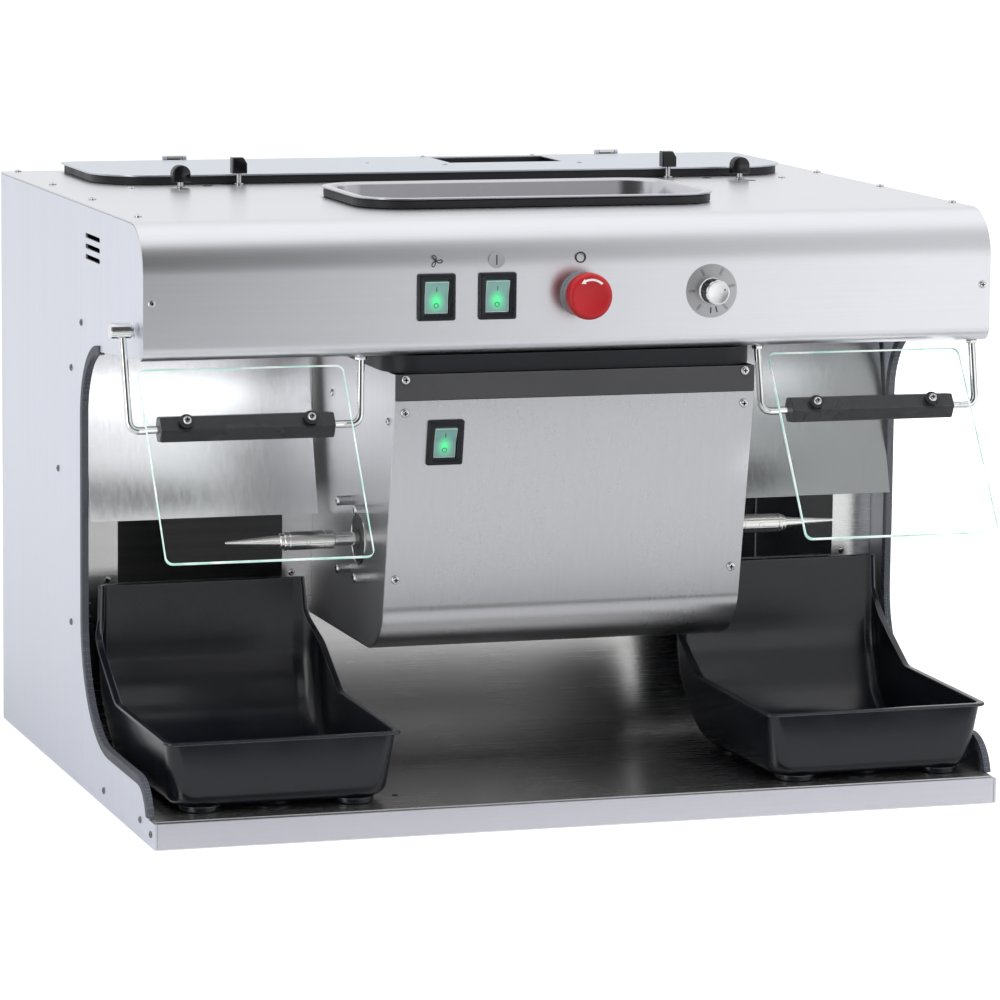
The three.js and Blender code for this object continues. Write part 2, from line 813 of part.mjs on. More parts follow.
// Spindle line: motor body with end bells, bearings, rotor shaft and the taper spindles
function motorBody() {
  const bore = shaftRadius + runningGap;
  const wallSeat = housingHalf - housingWall - seat;
  const pocket = motorHalf - motorWall;
  const seatEnd = pocket - bearingWidth - seat;
  const cavity = seatEnd - motorWall;
  const outline = [
    [bore, -wallSeat], [motorFlangeRadius, -wallSeat], [motorFlangeRadius, -motorHalf],
    [motorRadius, -motorHalf], [motorRadius, motorHalf], [motorFlangeRadius, motorHalf],
    [motorFlangeRadius, wallSeat], [bore, wallSeat], [bore, pocket],
    [bearingRadius + seat, pocket], [bearingRadius + seat, cavity], [motorBore, cavity],
    [motorBore, -cavity], [bearingRadius + seat, -cavity], [bearingRadius + seat, -pocket],
    [bore, -pocket], [bore, -wallSeat],
  ];
  add('motor_body', turned(outline, 'X', fineSides), castAlloy, { y: spindleY, z: spindleZ });
  const bearingFrom = pocket - seat - bearingWidth;
  for (const side of mirrored) {
    const from = side > 0 ? bearingFrom : -bearingFrom - bearingWidth;
    const inner = shaftRadius + seat;
    const ring = [
      [inner, from], [bearingRadius, from], [bearingRadius, from + bearingWidth],
      [inner, from + bearingWidth], [inner, from],
    ];
    add(`${sideName[side]}_bearing`, turned(ring, 'X'), groundSteel, { y: spindleY, z: spindleZ });
  }
}

function rotorShaft() {
  const end = sleeveInnerX + sleeveBore;
  const outline = [
    [0, -end], [shaftRadius, -end], [shaftRadius, -rotorHalf], [rotorRadius, -rotorHalf],
    [rotorRadius, rotorHalf], [shaftRadius, rotorHalf], [shaftRadius, end], [0, end],
  ];
  add('rotor_shaft', turned(outline, 'X'), groundSteel, { y: spindleY, z: spindleZ });
}

function taperSpindle(side) {
  const bore = shaftRadius + seat;
  const boreEnd = sleeveInnerX + sleeveBore + seat;
  const tip = sleeveOuterX + coneLength;
  const outline = [
    [bore, sleeveInnerX], [sleeveRadius, sleeveInnerX], [sleeveRadius, sleeveOuterX],
    [coneRadius, sleeveOuterX], [coneTipRadius, tip - coneTipRadius], [0, tip],
    [0, boreEnd], [bore, boreEnd], [bore, sleeveInnerX],
  ];
  const body = turned(outline, 'X');
  const place = { y: spindleY, z: spindleZ };
  const turnedBody = side > 0 ? body : body.rotate([0, 0, 180]);
  add(`${sideName[side]}_spindle`, turnedBody, groundSteel, place);
}

// Shields: two bent rods hold a hexagonal bar, and the glass tilts with the bar about them.
// The left shield's outer rod runs outside the cabinet to a boss on the side plate.
const shieldRods = [
  { name: 'left_shield_outer_rod', centreX: leftShieldX, side: -1, splay: rodSplay, onBoss: true },
  { name: 'left_shield_inner_rod', centreX: leftShieldX, side: 1, splay: rodSplay, onBoss: false },
  { name: 'right_shield_inner_rod', centreX: rightShieldX, side: -1, splay: rodSplay, onBoss: false },
  { name: 'right_shield_outer_rod', centreX: rightShieldX, side: 1, splay: -rodTuck, onBoss: false },
];

// A point on a rod's arm, at a height above the bar
function rodPoint(rod, rise) {
  const share = rise / (bayTopZ - shieldZ);
  return new THREE.Vector3(rod.side * (rodReach + rod.splay * share), rodLean * share, rise);
}

function bentRod(rod, rise) {
  const corner = rodPoint(rod, 0);
  const high = rodPoint(rod, rise);
  const start = new THREE.Vector3(rod.side * (barHalf - rodHold), 0, 0);
  const bendStart = corner.clone().sub(new THREE.Vector3(rod.side * rodBend, 0, 0));
  const bendEnd = rodPoint(rod, rodBend);
  const bend = new THREE.QuadraticBezierCurve3(bendStart, corner, bendEnd);
  const stations = [{ at: start, along: corner.clone().sub(start) }];
  for (let k = 0; k <= arcSteps; k += 1) {
    stations.push({ at: bend.getPoint(k / arcSteps), along: bend.getTangent(k / arcSteps) });
  }
  stations.push({ at: high, along: high.clone().sub(corner) });
  const rings = stations.map(({ at, along }) => {
    const axis = along.clone().normalize();
    const aside = new THREE.Vector3(0, 1, 0).addScaledVector(axis, -axis.y).normalize();
    const other = axis.clone().cross(aside);
    const ring = [];
    for (let k = 0; k < smallSides; k += 1) {
      const angle = 2 * Math.PI * k / smallSides;
      const point = at.clone().addScaledVector(aside, rodRadius * Math.cos(angle))
        .addScaledVector(other, rodRadius * Math.sin(angle));
      ring.push(point.toArray());
    }
    return ring;
  });
  return skinned(rings);
}

function shieldRod(rod) {
  const rise = (rod.onBoss ? bossZ : bayTopZ + rodStudLength) - shieldZ;
  const collarRise = bayTopZ - seat - collarHeight / 2 - shieldZ;
  const at = rodPoint(rod, rod.onBoss ? rise : collarRise);
  const carrier = rod.onBoss
    ? disc(bossRadius, -bossLength / 2, bossLength / 2, 'X')
    : disc(collarRadius, -collarHeight / 2, collarHeight / 2, 'Z', smallSides);
  add(rod.name, join(bentRod(rod, rise), carrier.translate(at.toArray())), chrome,
    { x: rod.centreX, y: shieldY, z: shieldZ });
}

function hexagon(flats) {
  const corner = flats / Math.sqrt(3);
  const points = [];
  for (let k = 0; k < 6; k += 1) {
    const angle = Math.PI / 6 + k * Math.PI / 3;
    points.push([corner * Math.cos(angle), corner * Math.sin(angle)]);
  }
  return polygon(points);
}

// In the shield's own frame the glass stands upright on the bar's front flat
function shieldBar() {
  const bar = alongX(hexagon(barFlats), -barHalf, barHalf);
  const bore = rodRadius + seat;
  const bores = mirrored.map((side) => {
    const near = side * (barHalf - rodHold - seat);
    const far = side * (barHalf + overrun);
    return disc(bore, Math.min(near, far), Math.max(near, far), 'X');
  });
  const face = -barFlats / 2;
  const glassFront = face - seat - glassThickness;
  const screws = mirrored.map((side) => {
    const shank = disc(barScrewShank, glassFront - overrun / 2, face + overrun / 2, 'Y', smallSides);
    const washer = disc(washerRadius, glassFront - seat - washerThickness, glassFront - seat, 'Y',
      smallSides);
    const head = disc(barScrewRadius, glassFront - washerThickness - barScrewHead,
      glassFront - washerThickness, 'Y', smallSides);
    return join(shank, washer, head).translate([side * barScrewX, 0, 0]);
  });
  return join(cut(bar, ...bores), ...screws);
}

function shieldGlass() {
  const back = -barFlats / 2 - seat;
  const pane = rounded(-glassWidth / 2, glassWidth / 2, glassAbove - glassLength, glassAbove, glassCorner);
  const plate = alongY(pane, back - glassThickness, back);
  const holes = mirrored.map((side) => disc(barScrewShank + seat, back - glassThickness - overrun,
    back + overrun, 'Y', smallSides).translate([side * barScrewX, 0, 0]));
  return cut(plate, ...holes);
}

function tiltingShield(name, centreX) {
  const place = { x: centreX, y: shieldY, z: shieldZ, tilt: -shieldAngle };
  add(`${name}_bar`, shieldBar(), blackPlastic, place);
  add(`${name}_glass`, shieldGlass(), clearGlass, place);
}

// Rocker switches: sealed frame with a body behind the panel, and the lens that rocks in it
function rockerSwitch(frameName, rockerName, size, x, y, z, tilt) {
  const core = switchCore(size);
  const group = new THREE.Group();
  group.position.set(x, y, z);
  group.rotation.x = tilt;
  machine.add(group);
  const flange = alongY(rounded(-size.width / 2, size.width / 2, -size.height / 2, size.height / 2,
    switchWall), -switchBezel, -seat);
  const body = block(-core.x, core.x, -switchBezel / 2, switchBody, -core.z, core.z);
  const pocket = block(-core.x + switchWall, core.x - switchWall, -switchBezel - overrun,
    switchBody - switchWall, -core.z + switchWall, core.z - switchWall);
  add(frameName, cut(join(flange, body), pocket), blackPlastic, { parent: group });
  const halfZ = core.z - switchWall - rockerGap;
  const halfX = core.x - switchWall - rockerGap;
  const profile = polygon([
    [-rockerThickness / 2, -halfZ], [rockerThickness / 2, -halfZ], [rockerThickness / 2, halfZ],
    [-rockerThickness / 2, halfZ], [-rockerThickness / 2 + rockerDish, 0],
  ]);
  const pivotY = rockerSink + rockerThickness / 2 - switchBezel;
  add(rockerName, alongX(profile, -halfX, halfX), greenLens, { parent: group, y: pivotY, tilt: rockerTilt });
}

// Stop button: ring and barrel in the panel, pushing stem and mushroom head
function stopControl() {
  const place = { x: stopX, y: hoodFrontY, z: controlZ };
  const bore = stopStem + runningGap;
  const ringFront = -seat - stopRingThickness;
  const sleeveFront = ringFront - stopSleeveLength;
  const collar = [
    [bore, sleeveFront], [stopSleeveRadius, sleeveFront], [stopSleeveRadius, ringFront],
    [stopRingRadius, ringFront], [stopRingRadius, -seat], [stopBarrelRadius, -seat],
    [stopBarrelRadius, stopBarrelLength], [bore, stopBarrelLength], [bore, sleeveFront],
  ];
  add('stop_collar', turned(collar, 'Y', fineSides), greyPlastic, place);
  const headBack = sleeveFront - stopHeadGap;
  const headFront = headBack - stopHeadThickness;
  const neckFront = headBack + stopHeadThickness / 2 - stopHeadThickness;
  const stem = [
    [0, neckFront], [stopNeckRadius, neckFront], [stopNeckRadius, headBack + seat],
    [stopStem, headBack + seat], [stopStem, headBack + stopStemLength], [0, headBack + stopStemLength],
  ];
  add('stop_stem', turned(stem, 'Y'), blackPlastic, place);
  const socket = stopNeckRadius + seat;
  const head = [
    [socket, headBack], [stopHeadRadius - stopDish, headBack],
    [stopHeadRadius, headBack - stopHeadThickness / 3],
    [stopHeadRadius, headFront + stopHeadThickness / 3], [stopHeadRadius - stopDish, headFront],
    [stopHeadRadius - 3 * stopDish, headFront], [0, headFront + stopDish],
    [0, neckFront - seat], [socket, neckFront - seat], [socket, headBack],
  ];
  add('stop_button', turned(head, 'Y', fineSides), stopRed, place);
}

// Speed knob with a fluted grip, and the control box that holds its potentiometer
function speedKnob() {
  const front = -seat - knobLength;
  const outline = [
    [0, front], [knobRadius - knobSkirt / 3, front], [knobRadius, front + knobSkirt / 3],
    [knobRadius, -knobSkirt - seat], [knobSkirtRadius, -knobSkirt / 2 - seat],
    [knobSkirtRadius, -seat], [knobStemRadius, -seat], [knobStemRadius, knobStemLength],
    [0, knobStemLength],
  ];
  const flutes = [];
  for (let k = 0; k < knobGripCount; k += 1) {
    const angle = 2 * Math.PI * k / knobGripCount;
    const reach = knobRadius + knobSkirt / 6;
    flutes.push(disc(knobSkirt / 3, front - overrun, -knobSkirt - seat, 'Y', fluteSides)
      .translate([reach * Math.cos(angle), 0, reach * Math.sin(angle)]));
  }
  add('speed_knob', cut(turned(outline, 'Y', fineSides), ...flutes), groundSteel,
    { x: dialX, y: hoodFrontY, z: controlZ });
}

function controlUnit() {
  const front = hoodFrontY + sheet + controlBoxGap;
  const box = block(dialX - controlBox.width / 2, dialX + controlBox.width / 2,
    front, front + controlBox.depth, controlZ - controlBox.height / 2, controlZ + controlBox.height / 2);
  const nose = disc(potRadius, hoodFrontY + sheet + seat, front + seat, 'Y').translate([dialX, 0, controlZ]);
  const bore = disc(knobStemRadius + runningGap, hoodFrontY, hoodFrontY + knobStemLength + overrun, 'Y',
    smallSides).translate([dialX, 0, controlZ]);
  const foot = block(dialX - controlBox.width / 2, dialX + controlBox.width / 2,
    front, front + sheet, bayTopZ + 2 * seat + sheet, controlZ);
  add('control_box', cut(join(box, nose, foot), bore), castAlloy);
}

// Lid with its gasket, window and hinges
function lid() {
  const left = lidCentreX - lidHalf;
  const right = lidCentreX + lidHalf;
  const gasketTop = height + lidGap + gasketHeight;
  const plateLow = gasketTop + seat;
  const plateHigh = plateLow + sheet;
  const plate = alongZ(rounded(left, right, lidFrontY, lidBackY, lidCorner, lidBackCorner),
    plateLow, plateHigh);
  const opening = block(windowLeftX, windowRightX, windowFrontY, windowBackY,
    plateLow - overrun, plateHigh + overrun);
  const hingeY = lidBackY + hingeRadius + runningGap;
  const hingeZ = plateLow + hingeRadius;
  const lugs = [];
  for (const side of mirrored) {
    for (const end of mirrored) {
      const inner = side * hingeX + end * (hingeWidth / 2 + seat);
      const outer = inner + end * hingeLug;
      const tail = block(Math.min(inner, outer), Math.max(inner, outer),
        lidBackY - overrun, hingeY, plateLow, plateHigh);
      const eye = disc(hingeRadius, Math.min(inner, outer), Math.max(inner, outer), 'X', smallSides)
        .translate([0, hingeY, hingeZ]);
      const pinHole = disc(hingePinRadius + seat, Math.min(inner, outer) - seat,
        Math.max(inner, outer) + seat, 'X', smallSides).translate([0, hingeY, hingeZ]);
      lugs.push(cut(join(tail, eye), pinHole));
    }
  }
  const plateClear = mirrored.map((side) => block(
    side * hingeX - hingeWidth / 2 - seat, side * hingeX + hingeWidth / 2 + seat,
    lidBackY - runningGap, lidBackY + overrun, plateLow - overrun, plateHigh + overrun));
  add('lid_plate', join(cut(plate, opening, ...plateClear), ...lugs), stainless);

  const outerRing = rounded(left + gasketInset, right - gasketInset, lidFrontY + gasketInset,
    lidBackY - gasketInset, lidCorner - gasketInset, lidBackCorner - gasketInset);
  const deep = gasketInset + gasketWidth;
  const innerRing = rounded(left + deep, right - deep, lidFrontY + deep, lidBackY - deep,
    lidCorner - deep, seat);
  const ring = cut(alongZ(outerRing, height + lidGap, gasketTop, bendSteps),
    alongZ(innerRing, height - overrun, gasketTop + overrun, bendSteps));
  add('lid_gasket', ring, blackRubber);

  for (const side of mirrored) {
    const from = side * hingeX - hingeWidth / 2;
    const to = from + hingeWidth;
    const barrel = disc(hingeRadius, from, to, 'X', smallSides).translate([0, hingeY, hingeZ]);
    const leg = block(from, to, hingeY, hingeY + hingeRadius, height + seat, hingeZ);
    const pin = disc(hingePinRadius, from - hingeLug, to + hingeLug, 'X', smallSides)
      .translate([0, hingeY, hingeZ]);
    add(`${sideName[side]}_lid_hinge`, join(barrel, leg, pin), chrome);
  }
}

// Lid clamps: wedge toggles beside the lid and ribbed arched knobs further out
function post(top) {
  const flange = disc(postFlangeRadius, 0, postFlange, 'Z', smallSides);
  return join(flange, disc(postRadius, 0, top, 'Z', smallSides));
}

function toggle(side) {
  const half = toggleLength / 2;
  const wedge = polygon([
    [-half, toggleLift], [half, toggleLift], [half, toggleLift + toggleHeight * toggleShoulderShare],
    [half * toggleTopShare, toggleLift + toggleHeight], [-half, toggleLift + toggleHeight],
  ]);
  const head = alongY(wedge, -toggleWidth / 2, toggleWidth / 2);
  add(`${sideName[side]}_toggle`, join(post(toggleLift + toggleHeight / 2), head), blackPlastic,
    { x: clampCentreX + side * toggleX, y: toggleY, z: height + seat });
}

function outerKnob(side) {
  const half = outerKnobWidth / 2;
  const arch = new THREE.Shape();
  const spring = outerKnobLift + outerKnobHeight - half;
  arch.moveTo(-half, outerKnobLift);
  arch.lineTo(half, outerKnobLift);
  arch.lineTo(half, spring);
  arch.absarc(0, spring, half, 0, Math.PI);
  const body = alongY(arch, -outerKnobDepth / 2, outerKnobDepth / 2);
  const pitch = outerKnobDepth / knobRibCount;
  const grooves = [];
  for (let k = 1; k < knobRibCount; k += 1) {
    const y = -outerKnobDepth / 2 + k * pitch;
    const ring = cut(
      block(-half - overrun, half + overrun, y - pitch / 6, y + pitch / 6, outerKnobLift + postFlange,
        outerKnobLift + outerKnobHeight + overrun),
      alongY(archInset(half, spring), -outerKnobDepth, outerKnobDepth));
    grooves.push(ring);
  }
  add(`${sideName[side]}_clamp_knob`, join(cut(body, ...grooves), post(outerKnobLift + postFlange)),
    blackPlastic, { x: clampCentreX + side * outerKnobX, y: outerKnobY, z: height + seat });
}

function archInset(half, spring) {
  const core = half - postFlange;
  const arch = new THREE.Shape();
  arch.moveTo(-core, 0);
  arch.lineTo(core, 0);
  arch.lineTo(core, spring);
  arch.absarc(0, spring, core, 0, Math.PI);
  return arch;
}

// Parts pan dropped into the top sheet, on its own gasket
function partsPan() {
  const halfX = panLength / 2;
  const halfY = panWidth / 2;
  const rimTop = panRimLift;
  const rimLow = panRimLift - sheet;
  const wallRing = (inset, z) => roundedRing(-halfX + inset, halfX - inset, -halfY + inset, halfY - inset,
    Math.max(panCorner - inset, panFloorRound), z);
  const edge = panRim + runningGap;
  const outer = skinned([
    wallRing(edge + panTaper + panFloorRound, rimTop - panDepth),
    wallRing(edge + panTaper + panFloorRound / 3, rimTop - panDepth + panFloorRound / 3),
    wallRing(edge + panTaper, rimTop - panDepth + panFloorRound),
    wallRing(edge, rimTop - sheet / 2),
  ]);
  const thick = edge + sheet;
  const inner = skinned([
    wallRing(thick + panTaper + panFloorRound, rimTop - panDepth + sheet),
    wallRing(thick + panTaper + panFloorRound / 3, rimTop - panDepth + sheet + panFloorRound / 3),
    wallRing(thick + panTaper, rimTop - panDepth + sheet + panFloorRound),
    wallRing(thick - panRim / 4, rimTop + overrun),
  ]);
  const rim = alongZ(rounded(-halfX, halfX, -halfY, halfY, panCorner), rimLow, rimTop);
  const place = { x: panCentreX, y: panCentreY, z: height };
  add('top_pan', cut(join(outer, rim), inner), stainless, place);
  const inset = sheet;
  const ringOuter = rounded(-halfX + inset, halfX - inset, -halfY + inset, halfY - inset, panCorner - inset);
  const ringInner = rounded(-halfX + panRim, halfX - panRim, -halfY + panRim, halfY - panRim,
    panCorner - panRim);
  const ring = cut(alongZ(ringOuter, seat, rimLow - seat), alongZ(ringInner, -overrun, rimLow + overrun));
  add('pan_gasket', ring, blackRubber, place);
}

// Catch trays: a low front, a tall scooped back, a flanged rim and moulded feet.
// The rim runs level, climbs, and sweeps up to an upright back.
function trayRimPath() {
  const path = new THREE.Path();
  const uprightY = trayBackY - trayWall;
  const sweepY = uprightY - trayRimSweep;
  const sweepStart = trayRimSlope - Math.PI / 2;
  const climbEndY = sweepY + trayRimSweep * Math.cos(sweepStart);
  const climbEndZ = traySweepZ + trayRimSweep * Math.sin(sweepStart);
  const kinkZ = trayRimZ + trayRimRise;
  const cornerY = climbEndY - (climbEndZ - kinkZ) / Math.tan(trayRimSlope);
  const kinkY = cornerY - trayRimKink * Math.tan(trayRimSlope / 2);
  path.moveTo(trayFrontY, trayRimZ);
  path.lineTo(kinkY, kinkZ);
  path.absarc(kinkY, kinkZ + trayRimKink, trayRimKink, -Math.PI / 2, sweepStart);
  path.absarc(sweepY, traySweepZ, trayRimSweep, sweepStart, 0);
  path.lineTo(uprightY, trayBackZ);
  return path.getPoints(arcSteps);
}

function trayProfile(inset, back) {
  const low = floorTopZ + seat + trayFootHeight + inset;
  const scoop = trayScoopRadius - inset;
  const shape = new THREE.Shape();
  shape.moveTo(trayFrontY - overrun, low);
  shape.lineTo(back - scoop, low);
  shape.absarc(back - scoop, low + scoop, scoop, -Math.PI / 2, 0);
  shape.lineTo(back, trayBackZ + overrun);
  shape.lineTo(trayFrontY - overrun, trayBackZ + overrun);
  return shape;
}

// Plan rings from the floor to above the rim: walls draw in and corners grow downward
function trayLoft(inset, back, top) {
  const low = floorTopZ + seat + trayFootHeight + inset;
  const ring = (z, squeeze, corner) => {
    const draft = Math.max(trayRimZ - z, 0) * trayDraftShare;
    const half = trayHalf - trayRim - inset - draft - squeeze;
    const front = trayFrontY + trayRim + inset + draft + squeeze;
    const plan = rounded(-half, half, front, back, Math.max(corner - inset, trayWall),
      trayRearCorner - inset);
    return plan.getPoints(arcSteps).slice(0, -1).map((p) => [p.x, p.y, z]);
  };
  return skinned([
    ring(low, trayFloorRound, trayLowCorner),
    ring(low + trayFloorRound / 4, trayFloorRound / 3, trayLowCorner),
    ring(low + trayFloorRound, 0, trayLowCorner),
    ring(trayRimZ, 0, trayFrontCorner),
    ring(top, 0, trayFrontCorner),
  ]);
}

function catchTray() {
  const rimLine = trayRimPath();
  const bottomZ = floorTopZ + seat;
  const innerBack = trayBackY - trayWall - trayBackStep;
  const underRim = new THREE.Shape([
    ...rimLine,
    new THREE.Vector2(trayBackY, trayBackZ),
    new THREE.Vector2(trayBackY, bottomZ),
    new THREE.Vector2(trayFrontY, bottomZ),
  ]);
  const outer = trayLoft(0, trayBackY, trayBackZ + overrun)
    .intersect(alongX(trayProfile(0, trayBackY), -trayHalf, trayHalf, bendSteps))
    .intersect(alongX(underRim, -trayHalf, trayHalf));
  const rimPlan = alongZ(rounded(-trayHalf, trayHalf, trayFrontY, trayBackY + overrun, trayFrontCorner, seat),
    bottomZ, trayBackZ + overrun);
  const rimRise = alongY(rounded(-trayHalf, trayHalf, bottomZ - trayTopCorner, trayBackZ,
    trayTopCorner), trayFrontY - overrun, trayBackY + overrun);
  const flange = alongX(band(rimLine, -trayWall, 0), -trayHalf, trayHalf)
    .intersect(rimPlan).intersect(rimRise);
  const inner = trayLoft(trayWall, innerBack, trayBackZ + 2 * overrun)
    .intersect(alongX(trayProfile(trayWall, innerBack), -trayHalf, trayHalf, bendSteps));
  const backBand = block(-trayHalf, trayHalf, innerBack - seat, trayBackY - trayWall,
    trayBackEdgeZ, trayBackZ + overrun);
  const shell = cut(outer.intersect(rimRise), inner, backBand);
  const feet = [];
  const frontFoot = trayFrontY + trayRim + trayLowCorner + trayFootInset;
  const rearFoot = trayBackY - trayScoopRadius;
  const places = [[-trayFootX, frontFoot], [trayFootX, frontFoot], [0, frontFoot + trayFootBack],
    [-trayFootX, rearFoot], [trayFootX, rearFoot]];
  for (const [x, y] of places) {
    feet.push(disc(trayFootRadius, bottomZ, bottomZ + trayFootHeight + trayWall / 2, 'Z', smallSides)
      .translate([x, y, 0]));
  }
  return join(shell, cut(flange, inner), ...feet);
}

// Filter cassette, the fan deck with its scroll, the impeller and the fan motor
function filterCassette() {
  const low = deckZ + thinSheet + seat;
  const outer = block(filterLeftX, filterRightX, filterFrontY, filterBackY, low, low + filterFrameHeight);
  const hole = block(filterLeftX + filterFrame, filterRightX - filterFrame, filterFrontY + filterFrame,
    filterBackY - filterFrame, low - overrun, low + filterFrameHeight + overrun);
  const zig = [];
  const zag = [];
  const span = filterRightX - filterLeftX - filterFrame;
  for (let k = 0; k <= 2 * pleatCount; k += 1) {
    const x = filterLeftX + filterFrame / 2 + span * k / (2 * pleatCount);
    const z = low + filterFrameHeight / 3 + (k % 2) * (filterHeight - filterFrameHeight);
    zig.push([x, z]);
    zag.unshift([x, z + pleatThickness]);
  }
  const steep = polygon([...zig, ...zag]);
  const media = alongY(steep, filterFrontY + filterFrame / 2, filterBackY - filterFrame / 2);
  add('filter_cassette', join(cut(outer, hole), media), filterMedia);
}

function fanHousing() {
  const left = windowLeftX + (windowRightX - windowLeftX - scrollWidth) / 2;
  const right = left + scrollWidth;
  const top = height - sheet - runningGap - seat;
  const neckFront = windowFrontY;
  const neckBack = scrollY + scrollEndRadius;
  const drum = (inset, from, to) => join(
    disc(scrollEndRadius - inset, from, to, 'X', fineSides).translate([0, scrollY, scrollZ]),
    block(from, to, neckFront + inset, neckBack - inset, scrollZ, top + (inset ? overrun : 0)));
  const shell = cut(drum(0, left, right), drum(sheet, left + sheet, right - sheet));
  const eye = disc(fanEyeRadius, left - overrun, left + 2 * sheet, 'X').translate([0, scrollY, scrollZ]);
  const shaftHole = disc(fanShaftRadius + runningGap, right - 2 * sheet, right + overrun, 'X', smallSides)
    .translate([0, scrollY, scrollZ]);
  const deck = block(-innerX, innerX, backSheetY + thinSheet + seat, rearInnerY, deckZ, deckZ + thinSheet);
  const airHole = block(filterLeftX + 2 * filterFrame, filterRightX - 2 * filterFrame,
    filterFrontY + 2 * filterFrame, filterBackY - 2 * filterFrame, deckZ - overrun, deckZ + overrun);
  const saddle = block(left, right, scrollY - scrollStartRadius / 2, scrollY + scrollStartRadius / 2,
    deckZ, scrollZ - scrollEndRadius + 2 * sheet);
  const hollow = disc(scrollEndRadius - sheet, left + sheet, right - sheet, 'X', fineSides)
    .translate([0, scrollY, scrollZ]);
  add('fan_housing', join(cut(shell, eye, shaftHole), cut(deck, airHole), cut(saddle, hollow)), stainless);
  return { left, right };
}

function fanRotor(box) {
  const plateX = box.right - sheet - 3 * fanPlate;
  const plate = disc(fanRadius, plateX - fanPlate, plateX, 'X', fineSides);
  const tip = plateX - fanPlate - fanBladeHeight;
  const hub = disc(fanHubRadius, plateX - fanPlate - fanBladeHeight / 2, plateX, 'X');
  const shaft = disc(fanShaftRadius, plateX - fanPlate, box.right + seat + fanMotorLength / 3, 'X',
    smallSides);
  const blades = [];
  for (let k = 0; k < fanBladeCount; k += 1) {
    const blade = block(tip, plateX - fanPlate / 2, -fanBladeThickness / 2, fanBladeThickness / 2,
      fanEyeRadius - fanPlate, fanRadius - fanPlate);
    blades.push(blade.rotate([360 * k / fanBladeCount, 0, 0]));
  }
  add('fan_impeller', join(plate, hub, shaft, ...blades), castAlloy, { y: scrollY, z: scrollZ });
}

function fanMotor(box) {
  const from = box.right + seat;
  const bore = fanShaftRadius + runningGap;
  const boreEnd = from + fanMotorLength / 3 + runningGap;
  const to = from + fanMotorLength;
  const outline = [
    [bore, from], [fanMotorRadius, from], [fanMotorRadius, to - fanPlate], [fanMotorRadius - fanPlate, to],
    [0, to], [0, boreEnd], [bore, boreEnd], [bore, from],
  ];
  add('fan_motor', turned(outline, 'X', fineSides), castAlloy, { y: scrollY, z: scrollZ });
}

// Assembly
for (const side of mirrored) {
  sidePlate(side);
  edgeTrim(side);
  deflector(side);
  housingWallPiece(side);
  taperSpindle(side);
  toggle(side);
  outerKnob(side);
}
basePan();
footRails();
workFloor();
ceilingPanel();
rearPanel();
powerInlet();
hood();
motorCover();
topStrip();
neckSeal();
motorBody();
rotorShaft();
shieldRods.forEach(shieldRod);
tiltingShield('left_shield', leftShieldX);
tiltingShield('right_shield', rightShieldX);
rockerSwitch('fan_switch_frame', 'fan_rocker', hoodSwitch, fanSwitchX, hoodFrontY, controlZ, 0);
rockerSwitch('motor_switch_frame', 'motor_rocker', hoodSwitch, motorSwitchX, hoodFrontY, controlZ, 0);
const coverPlace = coverSwitchFrame();
rockerSwitch('cover_switch_frame', 'cover_rocker', coverSwitch, coverSwitchX, coverPlace.y, coverPlace.z,
  coverLean);
stopControl();
speedKnob();
controlUnit();
lid();
partsPan();
add('left_catch_tray', catchTray(), trayPlastic, { x: leftTrayX, turn: trayTurn });
add('right_catch_tray', catchTray(), trayPlastic, { x: rightTrayX, y: rightTrayPull, turn: trayTurn });
filterCassette();
const fanBox = fanHousing();
fanRotor(fanBox);
fanMotor(fanBox);
machine.position.set(standX, standY, 0);

export default machine;
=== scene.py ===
# Double-place polishing lathe: finishes, small parts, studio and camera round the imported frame.
# Pieces are laid out in millimetres from the middle of the cabinet's base, as the frame is,
# and are turned into metres in the frame's own place when each piece is made.
import json
import math

import bmesh
import bpy
from mathutils import Matrix, Vector


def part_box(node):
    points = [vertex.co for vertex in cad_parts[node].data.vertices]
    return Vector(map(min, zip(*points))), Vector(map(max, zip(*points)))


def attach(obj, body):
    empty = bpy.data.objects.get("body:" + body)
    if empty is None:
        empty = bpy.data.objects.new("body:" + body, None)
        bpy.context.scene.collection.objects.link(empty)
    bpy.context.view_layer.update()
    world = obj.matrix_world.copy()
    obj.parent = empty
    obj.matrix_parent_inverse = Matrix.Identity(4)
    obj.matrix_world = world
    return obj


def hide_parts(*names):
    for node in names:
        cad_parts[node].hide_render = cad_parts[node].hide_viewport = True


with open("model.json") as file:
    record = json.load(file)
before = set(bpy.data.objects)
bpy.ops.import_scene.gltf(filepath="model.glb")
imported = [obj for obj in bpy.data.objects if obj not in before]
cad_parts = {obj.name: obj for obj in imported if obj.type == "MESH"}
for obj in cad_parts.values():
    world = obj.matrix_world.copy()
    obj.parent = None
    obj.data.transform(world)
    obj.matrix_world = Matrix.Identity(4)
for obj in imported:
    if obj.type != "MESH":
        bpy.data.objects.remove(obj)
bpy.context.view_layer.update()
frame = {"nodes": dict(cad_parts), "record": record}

MM = 0.001
hood_low, hood_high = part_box("hood")
plate_low, plate_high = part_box("left_side_plate")
CABINET = Vector(((hood_low.x + hood_high.x) / 2, (plate_low.y + plate_high.y) / 2, 0))
TO_FRAME = Matrix.Translation(CABINET) @ Matrix.Scale(MM, 4)
SIDES = (("left", -1), ("right", 1))

